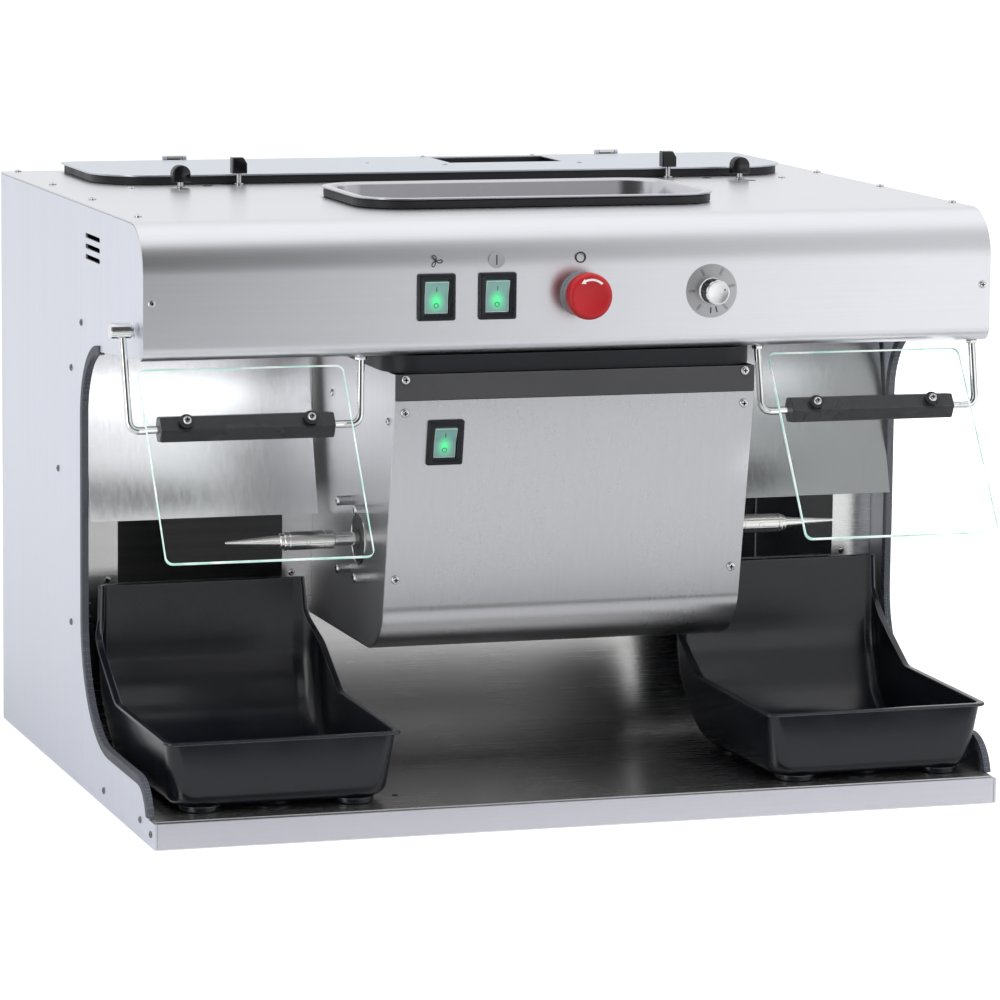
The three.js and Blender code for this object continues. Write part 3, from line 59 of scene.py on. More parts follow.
# Sizes read off the frame's pieces, in millimetres from the cabinet's middle
HALF_WIDTH = 360
HOOD_FRONT_Y = -249.7
HOOD_TOP_Z = 492.6
LID_TOP_Z = 501.2
FLOOR_TOP_Z = 23.0
REAR_Y = 287.5
COVER_LEAN = math.radians(9.75)
COVER_FRONT_Y = -250
COVER_TOP_Z = 348
HOUSING_HALF = 153
SPINDLE_Y = -145
SPINDLE_Z = 221
CONTROL_Z = 431
SHIELD_Y = -239
SHIELD_Z = 329.2
SHIELD_ANGLE = math.radians(34.4)
SEAT = 0.3  # Gap that keeps a seated piece clear of the sheet under it


# Placing: each matrix turns a small part's own axes, with its Z pointing out of the face it sits on
def basis(across, up, out, x, y, z):
    turn = Matrix((across, up, out)).transposed().to_4x4()
    return Matrix.Translation((x, y, z)) @ turn


def on_front(x, z, y=HOOD_FRONT_Y):
    return basis((1, 0, 0), (0, 0, 1), (0, -1, 0), x, y, z)


def on_rear(x, z):
    return basis((-1, 0, 0), (0, 0, 1), (0, 1, 0), x, REAR_Y, z)


def on_top(x, y, z=HOOD_TOP_Z):
    return Matrix.Translation((x, y, z))


def on_side(side, y, z, x=HALF_WIDTH):
    return basis((0, side, 0), (0, 0, 1), (side, 0, 0), side * x, y, z)


def on_cover(x, drop):
    out = (0, -math.cos(COVER_LEAN), -math.sin(COVER_LEAN))
    up = (0, -math.sin(COVER_LEAN), math.cos(COVER_LEAN))
    return basis((1, 0, 0), up, out, x, COVER_FRONT_Y + drop * math.tan(COVER_LEAN), COVER_TOP_Z - drop)


# Outlines and rings of points
def polar(radius, angle, height=0.0):
    return Vector((radius * math.cos(angle), radius * math.sin(angle), height))


def circle(radius, height, sides, place):
    return [place @ polar(radius, 2 * math.pi * k / sides, height) for k in range(sides)]


def lay(outline, height, place):
    return [place @ Vector((x, y, height)) for x, y in outline]


def arc(centre_x, centre_y, radius, start, steps):
    angles = [math.radians(start + 90 * k / steps) for k in range(steps)]
    return [(centre_x + radius * math.cos(angle), centre_y + radius * math.sin(angle)) for angle in angles]


def straight(start, end, steps):
    shares = [k / steps for k in range(steps)]
    return [(start[0] + (end[0] - start[0]) * share, start[1] + (end[1] - start[1]) * share)
            for share in shares]


def rounded_outline(half_x, half_y, radius, steps=6, middle=(0, 0)):
    points = []
    for sign_x, sign_y, start in ((1, 1, 0), (-1, 1, 90), (-1, -1, 180), (1, -1, 270)):
        x = middle[0] + sign_x * (half_x - radius)
        y = middle[1] + sign_y * (half_y - radius)
        for k in range(steps + 1):
            angle = math.radians(start + 90 * k / steps)
            points.append((x + radius * math.cos(angle), y + radius * math.sin(angle)))
    return points


# Rounded plates in layers, each given as its inset from the outer size, corner radius and height
def inset_rings(half_x, half_y, layers, place, steps=6):
    return [lay(rounded_outline(half_x - inset, half_y - inset, radius, steps), height, place)
            for inset, radius, height in layers]


# Mesh building: a skin runs from ring to ring, is closed by caps, or by itself when it loops
def skin(bm, rings, loop=False, open_end=False):
    rows = [[bm.verts.new(point) for point in ring] for ring in rings]
    pairs = list(zip(rows, rows[1:]))
    if loop:
        pairs.append((rows[-1], rows[0]))
    for low, high in pairs:
        for k in range(len(low)):
            n = (k + 1) % len(low)
            bm.faces.new((low[k], low[n], high[n], high[k]))
    if not loop:
        bm.faces.new(list(reversed(rows[0])))
        if not open_end:
            bm.faces.new(rows[-1])
    return rows


def lofted(rings):
    bm = bmesh.new()
    skin(bm, rings)
    return bm


# Profiles are (radius, height) pairs; one that ends on the axis stops just short of it
def revolve(bm, profile, sides, place, loop=False):
    skin(bm, [circle(max(radius, 0.01), height, sides, place) for radius, height in profile], loop)


def turned(profile, sides, place, loop=False):
    bm = bmesh.new()
    revolve(bm, profile, sides, place, loop)
    return bm


def disc(radius, low, high):
    return (0, low), (radius, low), (radius, high), (0, high)


def washer(inner, outer, low, high):
    return (inner, low), (outer, low), (outer, high), (inner, high)


def box_between(bm, low, high, place=Matrix.Identity(4)):
    corners = ((low[0], low[1]), (high[0], low[1]), (high[0], high[1]), (low[0], high[1]))
    skin(bm, [lay(corners, z, place) for z in (low[2], high[2])])


def tube(bm, path, radius, sides):
    points = [Vector(p) for p in path]
    aside = None
    rings = []
    for k, point in enumerate(points):
        before = points[max(k - 1, 0)]
        after = points[min(k + 1, len(points) - 1)]
        along = (after - before).normalized()
        if aside is None:
            guide = Vector((0, 0, 1)) if abs(along.z) < 0.8 else Vector((0, 1, 0))
            aside = along.cross(guide).normalized()
        aside = (aside - along * aside.dot(along)).normalized()
        other = along.cross(aside)
        turns = [2 * math.pi * s / sides for s in range(sides)]
        rings.append([point + aside * radius * math.cos(t) + other * radius * math.sin(t) for t in turns])
    skin(bm, rings)


def closed_ribbon(bm, path, width, thickness, place):
    points = [Vector((x, y, 0)) for x, y in path]
    up = Vector((0, 0, thickness))
    rings = []
    for k, point in enumerate(points):
        along = (points[(k + 1) % len(points)] - points[k - 1]).normalized()
        side = Vector((-along.y, along.x, 0)) * width / 2
        rings.append([place @ p for p in (point - side, point + side, point + side + up, point - side + up)])
    skin(bm, rings, loop=True)


def round_edges(piece, width, segments=2):
    bevel = piece.modifiers.new("rounded edges", "BEVEL")
    bevel.width = width * MM
    bevel.segments = segments
    bevel.limit_method = "ANGLE"
    bevel.angle_limit = math.radians(35)
    bevel.harden_normals = False
    weighted = piece.modifiers.new("even shading", "WEIGHTED_NORMAL")
    weighted.keep_sharp = False
    weighted.weight = 50


def make_piece(name, bm, body, materials, replaces=None, bevel=0.0, smooth=32, segments=2):
    bmesh.ops.recalc_face_normals(bm, faces=bm.faces)
    bm.transform(TO_FRAME)
    mesh = bpy.data.meshes.new(name)
    bm.to_mesh(mesh)
    bm.free()
    mesh.polygons.foreach_set("use_smooth", [True] * len(mesh.polygons))
    mesh.set_sharp_from_angle(angle=math.radians(smooth))
    for finish in materials if isinstance(materials, tuple) else (materials,):
        mesh.materials.append(finish)
    piece = bpy.data.objects.new(name, mesh)
    bpy.context.scene.collection.objects.link(piece)
    if bevel:
        round_edges(piece, bevel, segments)
    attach(piece, body)
    if replaces:
        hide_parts(replaces)


# Shader nodes: an input takes either a value or another node's output
def set_inputs(tree, node, values):
    for key, value in values.items():
        if isinstance(value, bpy.types.NodeSocket):
            tree.links.new(value, node.inputs[key])
        else:
            node.inputs[key].default_value = value


def add_node(tree, kind, values=None, **settings):
    made = tree.nodes.new(kind)
    for key, value in settings.items():
        setattr(made, key, value)
    set_inputs(tree, made, values or {})
    return made


def calc(tree, operation, first, second=0.0):
    return add_node(tree, "ShaderNodeMath", {0: first, 1: second}, operation=operation).outputs[0]


def ramp(tree, source, low, high, start=0.0, end=1.0):
    values = {"Value": source, "From Min": start, "From Max": end, "To Min": low, "To Max": high}
    return add_node(tree, "ShaderNodeMapRange", values).outputs["Result"]


def noise(tree, vector, scale, detail, **others):
    values = {"Vector": vector, "Scale": scale, "Detail": detail}
    values.update({key.title(): value for key, value in others.items()})
    return add_node(tree, "ShaderNodeTexNoise", values).outputs["Fac"]


def blend_colours(tree, factor, first, second):
    ends = [end if isinstance(end, bpy.types.NodeSocket) else (*end, 1) for end in (first, second)]
    values = {"Factor": factor, "A": ends[0], "B": ends[1]}
    return add_node(tree, "ShaderNodeMix", values, data_type="RGBA").outputs["Result"]


def bump(tree, height, distance, strength=1.0):
    values = {"Height": height, "Distance": distance, "Strength": strength}
    return add_node(tree, "ShaderNodeBump", values).outputs["Normal"]


def distance_from_middle(tree, x, y):
    squares = calc(tree, "ADD", calc(tree, "MULTIPLY", x, x), calc(tree, "MULTIPLY", y, y))
    return calc(tree, "SQRT", squares)


# Each group takes a place on the piece and one setting of its own, and puts out masks and heights
def new_group(name, setting, value, outputs):
    group = bpy.data.node_groups.new(name, "ShaderNodeTree")
    group.interface.new_socket(name="Vector", in_out="INPUT", socket_type="NodeSocketVector")
    own = group.interface.new_socket(name=setting, in_out="INPUT", socket_type="NodeSocketFloat")
    own.default_value = value
    for label in outputs:
        group.interface.new_socket(name=label, in_out="OUTPUT", socket_type="NodeSocketFloat")
    entry = group.nodes.new("NodeGroupInput").outputs
    return group, entry["Vector"], entry[setting], group.nodes.new("NodeGroupOutput")


def brushed_grain_group():
    group, vector, broad_scale, leave = new_group("Brushed grain", "Broad Scale", 0.13, ("Streak", "Height"))
    fine = noise(group, vector, 1.0, 3.0, roughness=0.6)
    coarse = add_node(group, "ShaderNodeVectorMath", {0: vector, "Scale": broad_scale}, operation="SCALE")
    broad = noise(group, coarse.outputs[0], 1.0, 2.0, roughness=0.5)
    streak = calc(group, "ADD", calc(group, "MULTIPLY", fine, 0.6), calc(group, "MULTIPLY", broad, 0.4))
    set_inputs(group, leave, {"Streak": streak, "Height": fine})
    return group


def smudge_group():
    group, vector, patch_scale, leave = new_group("Handling smudges", "Patch Scale", 9.0, ("Mask",))
    patches = noise(group, vector, patch_scale, 4.0, roughness=0.62, distortion=0.4)
    set_inputs(group, leave, {"Mask": ramp(group, patches, 0.0, 1.0, 0.42, 0.68)})
    return group


def moulded_grain_group():
    group, vector, grain_scale, leave = new_group("Moulded grain", "Grain Scale", 1400.0, ("Height",))
    values = {"Vector": vector, "Scale": grain_scale}
    cells = add_node(group, "ShaderNodeTexVoronoi", values, feature="SMOOTH_F1")
    grit = noise(group, vector, grain_scale, 2.0)
    set_inputs(group, leave, {"Height": calc(group, "ADD", cells.outputs["Distance"], grit)})
    return group


def pimple_group():
    group, vector, scale, leave = new_group("Rubber pimples", "Pimple Scale", 900.0, ("Height", "Crest"))
    values = {"Vector": vector, "Scale": scale, "Randomness": 0.35}
    cells = add_node(group, "ShaderNodeTexVoronoi", values, feature="F1")
    crest = ramp(group, cells.outputs["Distance"], 1.0, 0.0, 0.0, 0.55)
    set_inputs(group, leave, {"Height": crest, "Crest": calc(group, "POWER", crest, 3.0)})
    return group


# Sharp edges found from a bevelled normal, broken by noise; their lightening is partly wear, partly a painted
# highlight
def edge_wear_and_highlight_group():
    group, vector, contrast, leave = new_group("Edge wear and painted highlight", "Contrast", 12.0, ("Mask",))
    soft = add_node(group, "ShaderNodeBevel", {"Radius": 0.0012}, samples=4)
    plain = add_node(group, "ShaderNodeNewGeometry")
    normals = {0: soft.outputs["Normal"], 1: plain.outputs["Normal"]}
    compare = add_node(group, "ShaderNodeVectorMath", normals, operation="DOT_PRODUCT")
    sharp = calc(group, "MULTIPLY", calc(group, "SUBTRACT", 1.0, compare.outputs["Value"]), contrast)
    broken = ramp(group, noise(group, vector, 160.0, 3.0), 0.4, 1.0, 0.3, 0.6)
    set_inputs(group, leave, {"Mask": calc(group, "MINIMUM", calc(group, "MULTIPLY", sharp, broken), 1.0)})
    return group


BRUSHED = brushed_grain_group()
SMUDGES = smudge_group()
GRAIN = moulded_grain_group()
PIMPLES = pimple_group()
EDGE_WEAR_AND_HIGHLIGHT = edge_wear_and_highlight_group()


def blank_material(name):
    material = bpy.data.materials.new(name)
    material.use_nodes = True
    material.node_tree.nodes.clear()
    surface = add_node(material.node_tree, "ShaderNodeOutputMaterial")
    return material, material.node_tree, surface


def start_material(name):
    material, tree, surface = blank_material(name)
    shader = add_node(tree, "ShaderNodeBsdfPrincipled")
    set_inputs(tree, surface, {"Surface": shader.outputs["BSDF"]})
    return material, tree, shader


def place_on_piece(tree):
    return add_node(tree, "ShaderNodeTexCoord").outputs["Object"]


def place_group(tree, group, vector, setting=None):
    made = add_node(tree, "ShaderNodeGroup", {"Vector": vector}, node_tree=group)
    if setting is not None:
        set_inputs(tree, made, {1: setting})
    return made.outputs


# The other tone of a metal, lighter or darker by the same amount in each channel
def shifted(colour, change):
    return [value + change for value in colour]


def stretched(tree, place, scale):
    return add_node(tree, "ShaderNodeMapping", {"Vector": place, "Scale": scale}).outputs["Vector"]


def split_axes(tree, vector):
    return add_node(tree, "ShaderNodeSeparateXYZ", {0: vector}).outputs


SMUDGE_ROUGHNESS = 0.015
QUARTER_TURN = 0.25


# Sheet brushed along one axis. It takes its dark tone, what the light one adds, the brushing's axis, the
# lines' frequency per metre along and across it, roughness from and to, anisotropy and the lines' depth
def brushed_sheet(name, dark, lighter, brushing, lines, rough, anisotropy, depth):
    material, tree, shader = start_material(name)
    place = place_on_piece(tree)
    scale = [lines[0] if share else lines[1] for share in brushing]
    grain = place_group(tree, BRUSHED, stretched(tree, place, scale))
    tone = ramp(tree, grain["Streak"], 0.0, 1.0, 0.38, 0.62)
    handled = calc(tree, "MULTIPLY", place_group(tree, SMUDGES, place)["Mask"], SMUDGE_ROUGHNESS)
    direction = add_node(tree, "ShaderNodeCombineXYZ", dict(zip("XYZ", brushing)))
    tangent = add_node(tree, "ShaderNodeVectorTransform", {0: direction.outputs[0]}, vector_type="VECTOR",
                       convert_from="OBJECT", convert_to="WORLD")
    set_inputs(tree, shader, {
        "Base Color": blend_colours(tree, tone, dark, shifted(dark, lighter)),
        "Roughness": calc(tree, "ADD", ramp(tree, grain["Streak"], *rough, 0.4, 0.6), handled),
        "Metallic": 1.0, "Anisotropic": anisotropy, "Anisotropic Rotation": QUARTER_TURN,
        "Tangent": tangent.outputs[0], "Normal": bump(tree, grain["Height"], depth, 0.5)})
    return material


# Unbrushed metal: its tone, what smudges add to it, roughness, and smudges per metre
def plain_metal(name, colour, smudged, roughness, patch_scale=40.0):
    material, tree, shader = start_material(name)
    place = place_on_piece(tree)
    marks = place_group(tree, SMUDGES, place, patch_scale)["Mask"]
    set_inputs(tree, shader, {
        "Base Color": blend_colours(tree, marks, colour, shifted(colour, smudged)),
        "Roughness": ramp(tree, marks, roughness, roughness * 1.5), "Metallic": 1.0})
    return material


# Moulded plastic: its tone and that of worn edges, which is also a painted highlight on them, roughness from
# and to, its grain as cells per metre and depth, how strongly edges wear and take that highlight, and its
# specular level
def moulded_plastic(name, dark, worn_and_lit, rough, grain, wear, gloss=0.5):
    material, tree, shader = start_material(name)
    place = place_on_piece(tree)
    grain_scale, depth = grain
    marks = place_group(tree, SMUDGES, place, 14.0)["Mask"]
    shade = blend_colours(tree, marks, dark, [value * 1.25 for value in dark])
    rubbed_and_lit = place_group(tree, EDGE_WEAR_AND_HIGHLIGHT, place, wear)["Mask"]
    height = place_group(tree, GRAIN, place, grain_scale)["Height"]
    set_inputs(tree, shader, {
        "Base Color": blend_colours(tree, rubbed_and_lit, shade, worn_and_lit), "Roughness": ramp(tree, marks, *rough),
        "Specular IOR Level": gloss, "Normal": bump(tree, height, depth, 0.6)})
    return material


def rubber(name, dark, light, pimple_scale, depth, roughness):
    material, tree, shader = start_material(name)
    place = place_on_piece(tree)
    pimples = place_group(tree, PIMPLES, place, pimple_scale)
    marks = place_group(tree, SMUDGES, place, 20.0)["Mask"]
    set_inputs(tree, shader, {
        "Base Color": blend_colours(tree, pimples["Crest"], dark, light),
        "Roughness": ramp(tree, marks, roughness, roughness + 0.12),
        "Normal": bump(tree, pimples["Height"], depth)})
    return material


def printed(name, colour, roughness=0.5):
    material, tree, shader = start_material(name)
    place = place_on_piece(tree)
    marks = place_group(tree, SMUDGES, place, 120.0)["Mask"]
    set_inputs(tree, shader, {
        "Base Color": blend_colours(tree, marks, colour, [value * 0.88 for value in colour]),
        "Roughness": ramp(tree, marks, roughness, roughness + 0.1)})
    return material


# Glass lets light straight through for shadows, so that it doesn't darken what is behind it
def clear_glass():
    material, tree, shader = start_material("clear glass")
    place = place_on_piece(tree)
    marks = place_group(tree, SMUDGES, place, 12.0)["Mask"]
    set_inputs(tree, shader, {
        "Base Color": blend_colours(tree, marks, (0.985, 0.997, 0.993), (0.975, 0.992, 0.986)),
        "Roughness": ramp(tree, marks, 0.0, 0.003), "Transmission Weight": 1.0, "IOR": 1.3})
    through = add_node(tree, "ShaderNodeBsdfTransparent", {"Color": (0.95, 0.98, 0.97, 1)})
    path = add_node(tree, "ShaderNodeLightPath")
    choose = add_node(tree, "ShaderNodeMixShader", {
        0: path.outputs["Is Shadow Ray"], 1: shader.outputs["BSDF"], 2: through.outputs["BSDF"]})
    surface = next(node for node in tree.nodes if node.type == "OUTPUT_MATERIAL")
    set_inputs(tree, surface, {"Surface": choose.outputs[0]})
    return material


# The pane's edge glows green and white through its emission, a painted glow over the glass's own green
def glass_edge_with_glow():
    material, tree, shader = start_material("glass edge with painted glow")
    place = place_on_piece(tree)
    glints = noise(tree, stretched(tree, place, (60, 60, 60)), 1.0, 3.0)
    tone = ramp(tree, glints, 0.0, 1.0, 0.4, 0.65)
    colour = blend_colours(tree, tone, (0.5, 0.82, 0.72), (0.96, 1.0, 0.99))
    set_inputs(tree, shader, {"Base Color": colour, "Emission Color": colour, "Emission Strength": 0.3,
                              "Roughness": ramp(tree, tone, 0.1, 0.25)})
    return material


# The lamp behind the lens glows round a point below its middle, through fine moulded ribs
def lit_lens():
    material, tree, shader = start_material("lit green lens")
    window = add_node(tree, "ShaderNodeUVMap", uv_map="window").outputs["UV"]
    axes = split_axes(tree, window)
    reach = distance_from_middle(tree, axes["X"], calc(tree, "ADD", axes["Y"], 0.22))
    glow = calc(tree, "POWER", ramp(tree, reach, 1.0, 0.0, 0.05, 0.85), 1.6)
    waves = {"Vector": window, "Scale": 4.2, "Distortion": 0.6, "Detail": 1.0}
    ribs = add_node(tree, "ShaderNodeTexWave", waves, wave_type="BANDS", bands_direction="X").outputs["Fac"]
    lamp = calc(tree, "MULTIPLY", glow, ramp(tree, ribs, 0.82, 1.0))
    set_inputs(tree, shader, {
        "Base Color": blend_colours(tree, lamp, (0.2, 0.36, 0.33), (0.05, 0.62, 0.22)),
        "Emission Color": blend_colours(tree, lamp, (0.02, 0.07, 0.06), (0.06, 0.85, 0.26)),
        "Emission Strength": 0.75, "Roughness": ramp(tree, ribs, 0.16, 0.26)})
    return material


def filter_fleece():
    material, tree, shader = start_material("filter fleece")
    place = place_on_piece(tree)
    fibres = noise(tree, place, 900.0, 4.0, distortion=1.5)
    set_inputs(tree, shader, {
        "Base Color": blend_colours(tree, fibres, (0.62, 0.6, 0.53), (0.82, 0.8, 0.74)),
        "Roughness": ramp(tree, fibres, 0.85, 0.95), "Normal": bump(tree, fibres, 0.0002)})
    return material


ALONG_X, ALONG_Z = (1, 0, 0), (0, 0, 1)
hood_steel = brushed_sheet(
    "hood sheet", (0.7, 0.705, 0.74), 0.025, ALONG_X, (14, 3800), (0.29, 0.31), 0.6, 4e-6)
lid_steel = brushed_sheet(
    "lid sheet", (0.58, 0.615, 0.68), 0.04, ALONG_X, (9, 3000), (0.3, 0.34), 0.5, 6e-6)
lip_steel = brushed_sheet(
    "lip sheet", (0.64, 0.64, 0.7), 0.03, ALONG_X, (12, 2600), (0.3, 0.34), 0.5, 5e-6)
floor_steel = brushed_sheet(
    "work floor sheet", (0.67, 0.665, 0.66), 0.06, ALONG_X, (16, 2600), (0.24, 0.27), 0.6, 1e-6)
cover_steel = brushed_sheet(
    "cover sheet", (0.5, 0.5, 0.52), 0.03, ALONG_Z, (12, 2400), (0.27, 0.31), 0.6, 1.5e-6)
wall_steel = brushed_sheet(
    "housing wall sheet", (0.58, 0.58, 0.6), 0.05, ALONG_Z, (12, 2600), (0.28, 0.32), 0.5, 5e-6)
deflector_steel = brushed_sheet(
    "deflector sheet", (0.84, 0.84, 0.87), 0.08, ALONG_Z, (14, 2400), (0.2, 0.24), 0.7, 1.5e-6)
# The right deflector takes the deflector sheet darkened as painted shade
deflector_painted_shade = brushed_sheet(
    "right deflector sheet in painted shade", (0.33, 0.34, 0.35), 0.04, ALONG_Z, (14, 3200), (0.18, 0.22), 0.7, 1.5e-6)
side_steel = brushed_sheet(
    "side plate sheet", (0.69, 0.71, 0.78), 0.03, ALONG_Z, (9, 700), (0.42, 0.46), 0.2, 6e-6)
inner_steel = brushed_sheet(
    "inner sheet", (0.45, 0.45, 0.46), 0.1, ALONG_X, (4, 900), (0.35, 0.45), 0.4, 2e-5)
dial_grey = brushed_sheet(
    "dial disc", (0.45, 0.45, 0.47), 0.04, ALONG_X, (900, 900), (0.42, 0.5), 0.1, 4e-6)
chrome = plain_metal("bright plating", (0.78, 0.78, 0.79), -0.08, 0.07)
ground_steel = plain_metal("ground steel", (0.8, 0.79, 0.77), -0.06, 0.12)
screw_steel = plain_metal("screw steel", (0.68, 0.68, 0.7), -0.13, 0.2, 300.0)
dark_screw = plain_metal("dark screw steel", (0.2, 0.2, 0.21), -0.05, 0.25, 300.0)
recess_painted_shade = plain_metal("shaded recess", (0.05, 0.05, 0.055), -0.02, 0.5, 300.0)
cast_alloy = plain_metal("cast alloy", (0.5, 0.51, 0.53), -0.08, 0.42)
knob_metal = plain_metal("satin knob metal", (0.9, 0.9, 0.91), -0.04, 0.36, 60.0)
# The knob's barrel is its satin metal darkened as a painted dark reflection
knob_barrel_painted_reflection = plain_metal("knob barrel with painted dark reflection", (0.12, 0.12, 0.125), -0.03, 0.22, 120.0)
pan_steel = plain_metal("pan sheet", (0.52, 0.52, 0.56), 0.03, 0.2, 15.0)
bearing_shade = plain_metal("shaded opening", (0.1, 0.1, 0.105), -0.03, 0.4, 30.0)
tray_plastic = moulded_plastic(
    "tray moulding", (0.008, 0.009, 0.0135), (0.11, 0.115, 0.13), (0.17, 0.24), (1500, 1e-5), 7.0, 0.46)
black_plastic = moulded_plastic(
    "black moulding", (0.008, 0.0085, 0.0115), (0.05, 0.052, 0.06), (0.24, 0.32), (1800, 1e-5), 4.0, 0.28)
gloss_black = moulded_plastic(
    "glossy black moulding", (0.006, 0.006, 0.008), (0.03, 0.03, 0.034), (0.06, 0.1), (1500, 2e-6), 2.0)
neck_plastic = moulded_plastic(
    "neck moulding", (0.009, 0.0095, 0.013), (0.04, 0.04, 0.046), (0.42, 0.5), (1200, 2e-5), 3.0, 0.3)
# The strip under the hood is drawn as a near-black sheet
dark_strip_sheet = moulded_plastic(
    "dark strip sheet", (0.04, 0.04, 0.045), (0.13, 0.13, 0.14), (0.4, 0.48), (900, 1e-5), 3.0)
collar_grey = moulded_plastic(
    "grey collar moulding", (0.16, 0.165, 0.18), (0.5, 0.5, 0.52), (0.3, 0.4), (1500, 2e-5), 4.0)
stop_red = moulded_plastic(
    "red moulding", (0.4, 0.005, 0.01), (0.48, 0.016, 0.022), (0.36, 0.42), (1500, 5e-6), 2.0, 0.4)
trim_rubber = rubber("pimpled trim rubber", (0.07, 0.076, 0.095), (0.42, 0.45, 0.53), 480.0, 7e-4, 0.5)
seal_rubber = rubber("smooth seal rubber", (0.012, 0.012, 0.014), (0.03, 0.03, 0.033), 1600.0, 4e-5, 0.45)
white_print = printed("white print", (0.86, 0.86, 0.86))
black_print = printed("black print", (0.015, 0.015, 0.017))
pale_lip = printed("pale cap lip", (0.5, 0.58, 0.56), 0.2)
mark_green = printed("dark green mark", (0.01, 0.09, 0.045), 0.3)
glass_face = clear_glass()
glass_rim_glow = glass_edge_with_glow()
green_lens = lit_lens()
fleece = filter_fleece()


# Frame nodes that stay: merged corners, slightly rounded edges and their own finish
slot_of = {row["node"]: row["material_slot"] for row in frame["record"]["subparts"]}
finish_of_slot = {
    "stainless": inner_steel, "satin_plate": side_steel, "dark_strip": dark_strip_sheet,
    "black_rubber": seal_rubber, "black_plastic": black_plastic, "tray_plastic": tray_plastic,
    "chrome": chrome, "ground_steel": ground_steel, "cast_alloy": cast_alloy, "clear_glass": glass_face,
    "green_lens": green_lens, "stop_red": stop_red, "grey_plastic": collar_grey, "filter_media": fleece,
}
own_finish = {
    "hood": (hood_steel, 0.4), "lid_plate": (lid_steel, 0.4), "base_pan": (lip_steel, 0.4),
    "work_floor": (floor_steel, 0), "motor_front_cover": (cover_steel, 0.35),
    "left_deflector": (deflector_steel, 0.3), "right_deflector": (deflector_painted_shade, 0.3),
    "left_housing_wall": (wall_steel, 0.3), "right_housing_wall": (wall_steel, 0.3),
    "left_side_plate": (side_steel, 0.4), "right_side_plate": (side_steel, 0.4),
    "cover_top_strip": (dark_strip_sheet, 0.4), "neck_seal": (neck_plastic, 1.0),
    "left_edge_trim": (trim_rubber, 0.8), "right_edge_trim": (trim_rubber, 0.8),
    "lid_gasket": (seal_rubber, 1.2), "pan_gasket": (seal_rubber, 1.2),
}


def dress(node):
    finish, rounding = own_finish.get(node, (finish_of_slot[slot_of[node]], 0))
    item = frame["nodes"][node]
    item.data.polygons.foreach_set("use_smooth", [True] * len(item.data.polygons))
    item.data.materials.clear()
    item.data.materials.append(finish)
    weld = item.modifiers.new("merged corners", "WELD")
    weld.merge_threshold = 0.00001
    if rounding:
        round_edges(item, rounding)
    else:
        split = item.modifiers.new("crisp edges", "EDGE_SPLIT")
        split.split_angle = math.radians(32)


for node in frame["nodes"]:
    dress(node)


# Rocker switches: black bevelled frame and a lit lens with its own rim, ring and bar marks.
# Each row is a switch's name, its place, and half its width and height
SWITCHES = (
    ("fan", on_front(-119.5, CONTROL_Z), 15.9, 19), ("motor", on_front(-68.4, CONTROL_Z), 15.9, 19),
    ("cover", on_cover(-109.5, 35), 15.3, 18.8))
SWITCH_MARGIN = 4
POCKET_INSET = SWITCH_MARGIN + 1.4
LENS_INSET = POCKET_INSET + 0.5
LENS_BACK = -3.5
ROCKER_TILT = math.radians(7)


def switch_bezel(name, place, half_x, half_z):
    layers = (
        (SWITCH_MARGIN, 0.6, -20), (SWITCH_MARGIN, 0.6, SEAT), (0.3, 1.6, SEAT), (0, 1.8, 0.7),
        (0.2, 1.8, 2.2), (0.9, 1.8, 3.2), (1.7, 1.6, 3.6), (SWITCH_MARGIN - 0.9, 1.1, 3.6),
        (SWITCH_MARGIN - 0.2, 0.9, 3.2), (POCKET_INSET, 0.6, 2.6), (POCKET_INSET, 0.6, -18.6))
    make_piece(f"{name}_switch_bezel", lofted(inset_rings(half_x, half_z, layers, place)), "cabinet",
               black_plastic, f"{name}_switch_frame", smooth=40)


# The lens dips towards its middle, like a shallow V
def lens_face(half_z, z):
    return 3.5 - 1.6 * (1 - abs(z) / half_z)


def rocker_lens(name, half_x, half_z, tilted):
    rows = []
    steps = 14
    for k in range(steps + 1):
        z = half_z * (2 * k / steps - 1)
        front = lens_face(half_z, z)
        section = ((-half_x, LENS_BACK), (half_x, LENS_BACK), (half_x, front), (-half_x, front))
        rows.append([Vector((x, z, depth)) for x, depth in section])
    bm = lofted(rows)
    layer = bm.loops.layers.uv.new("window")
    for face in bm.faces:
        for loop in face.loops:
            loop[layer].uv = (loop.vert.co.x / half_x, loop.vert.co.y / half_z)
    bm.transform(tilted)
    make_piece(f"{name}_rocker_lens", bm, f"{name}_switch", green_lens, f"{name}_rocker",
               bevel=0.5)


def lens_rim(name, half_x, half_z, tilted):
    bm = bmesh.new()
    edge_x, edge_z = half_x - 0.5, half_z - 0.5
    high = lens_face(half_z, edge_z) + 0.1
    for side in (-1, 1):
        path = [(side * edge_x, z, lens_face(half_z, z) + 0.1) for z in (-edge_z, 0, edge_z)]
        tube(bm, path, 0.42, 8)
        tube(bm, [(-edge_x, side * edge_z, high), (edge_x, side * edge_z, high)], 0.42, 8)
    bm.transform(tilted)
    make_piece(f"{name}_rocker_lens_rim", bm, f"{name}_switch", pale_lip)


def lens_marks(name, half_z, tilted):
    ring_z, bar_z, bar_half = -half_z * 0.5, half_z * 0.52, 1.9
    bm = turned(washer(1.55, 2.05, 0, 0.2), 32,
                Matrix.Translation((0, ring_z, lens_face(half_z, ring_z) + 0.05)), loop=True)
    box_between(bm, (-0.22, bar_z - bar_half, lens_face(half_z, bar_z - 2)),
                (0.22, bar_z + bar_half, lens_face(half_z, bar_z + bar_half) + 0.15))
    bm.transform(tilted)
    make_piece(f"{name}_rocker_lens_marks", bm, f"{name}_switch", mark_green)


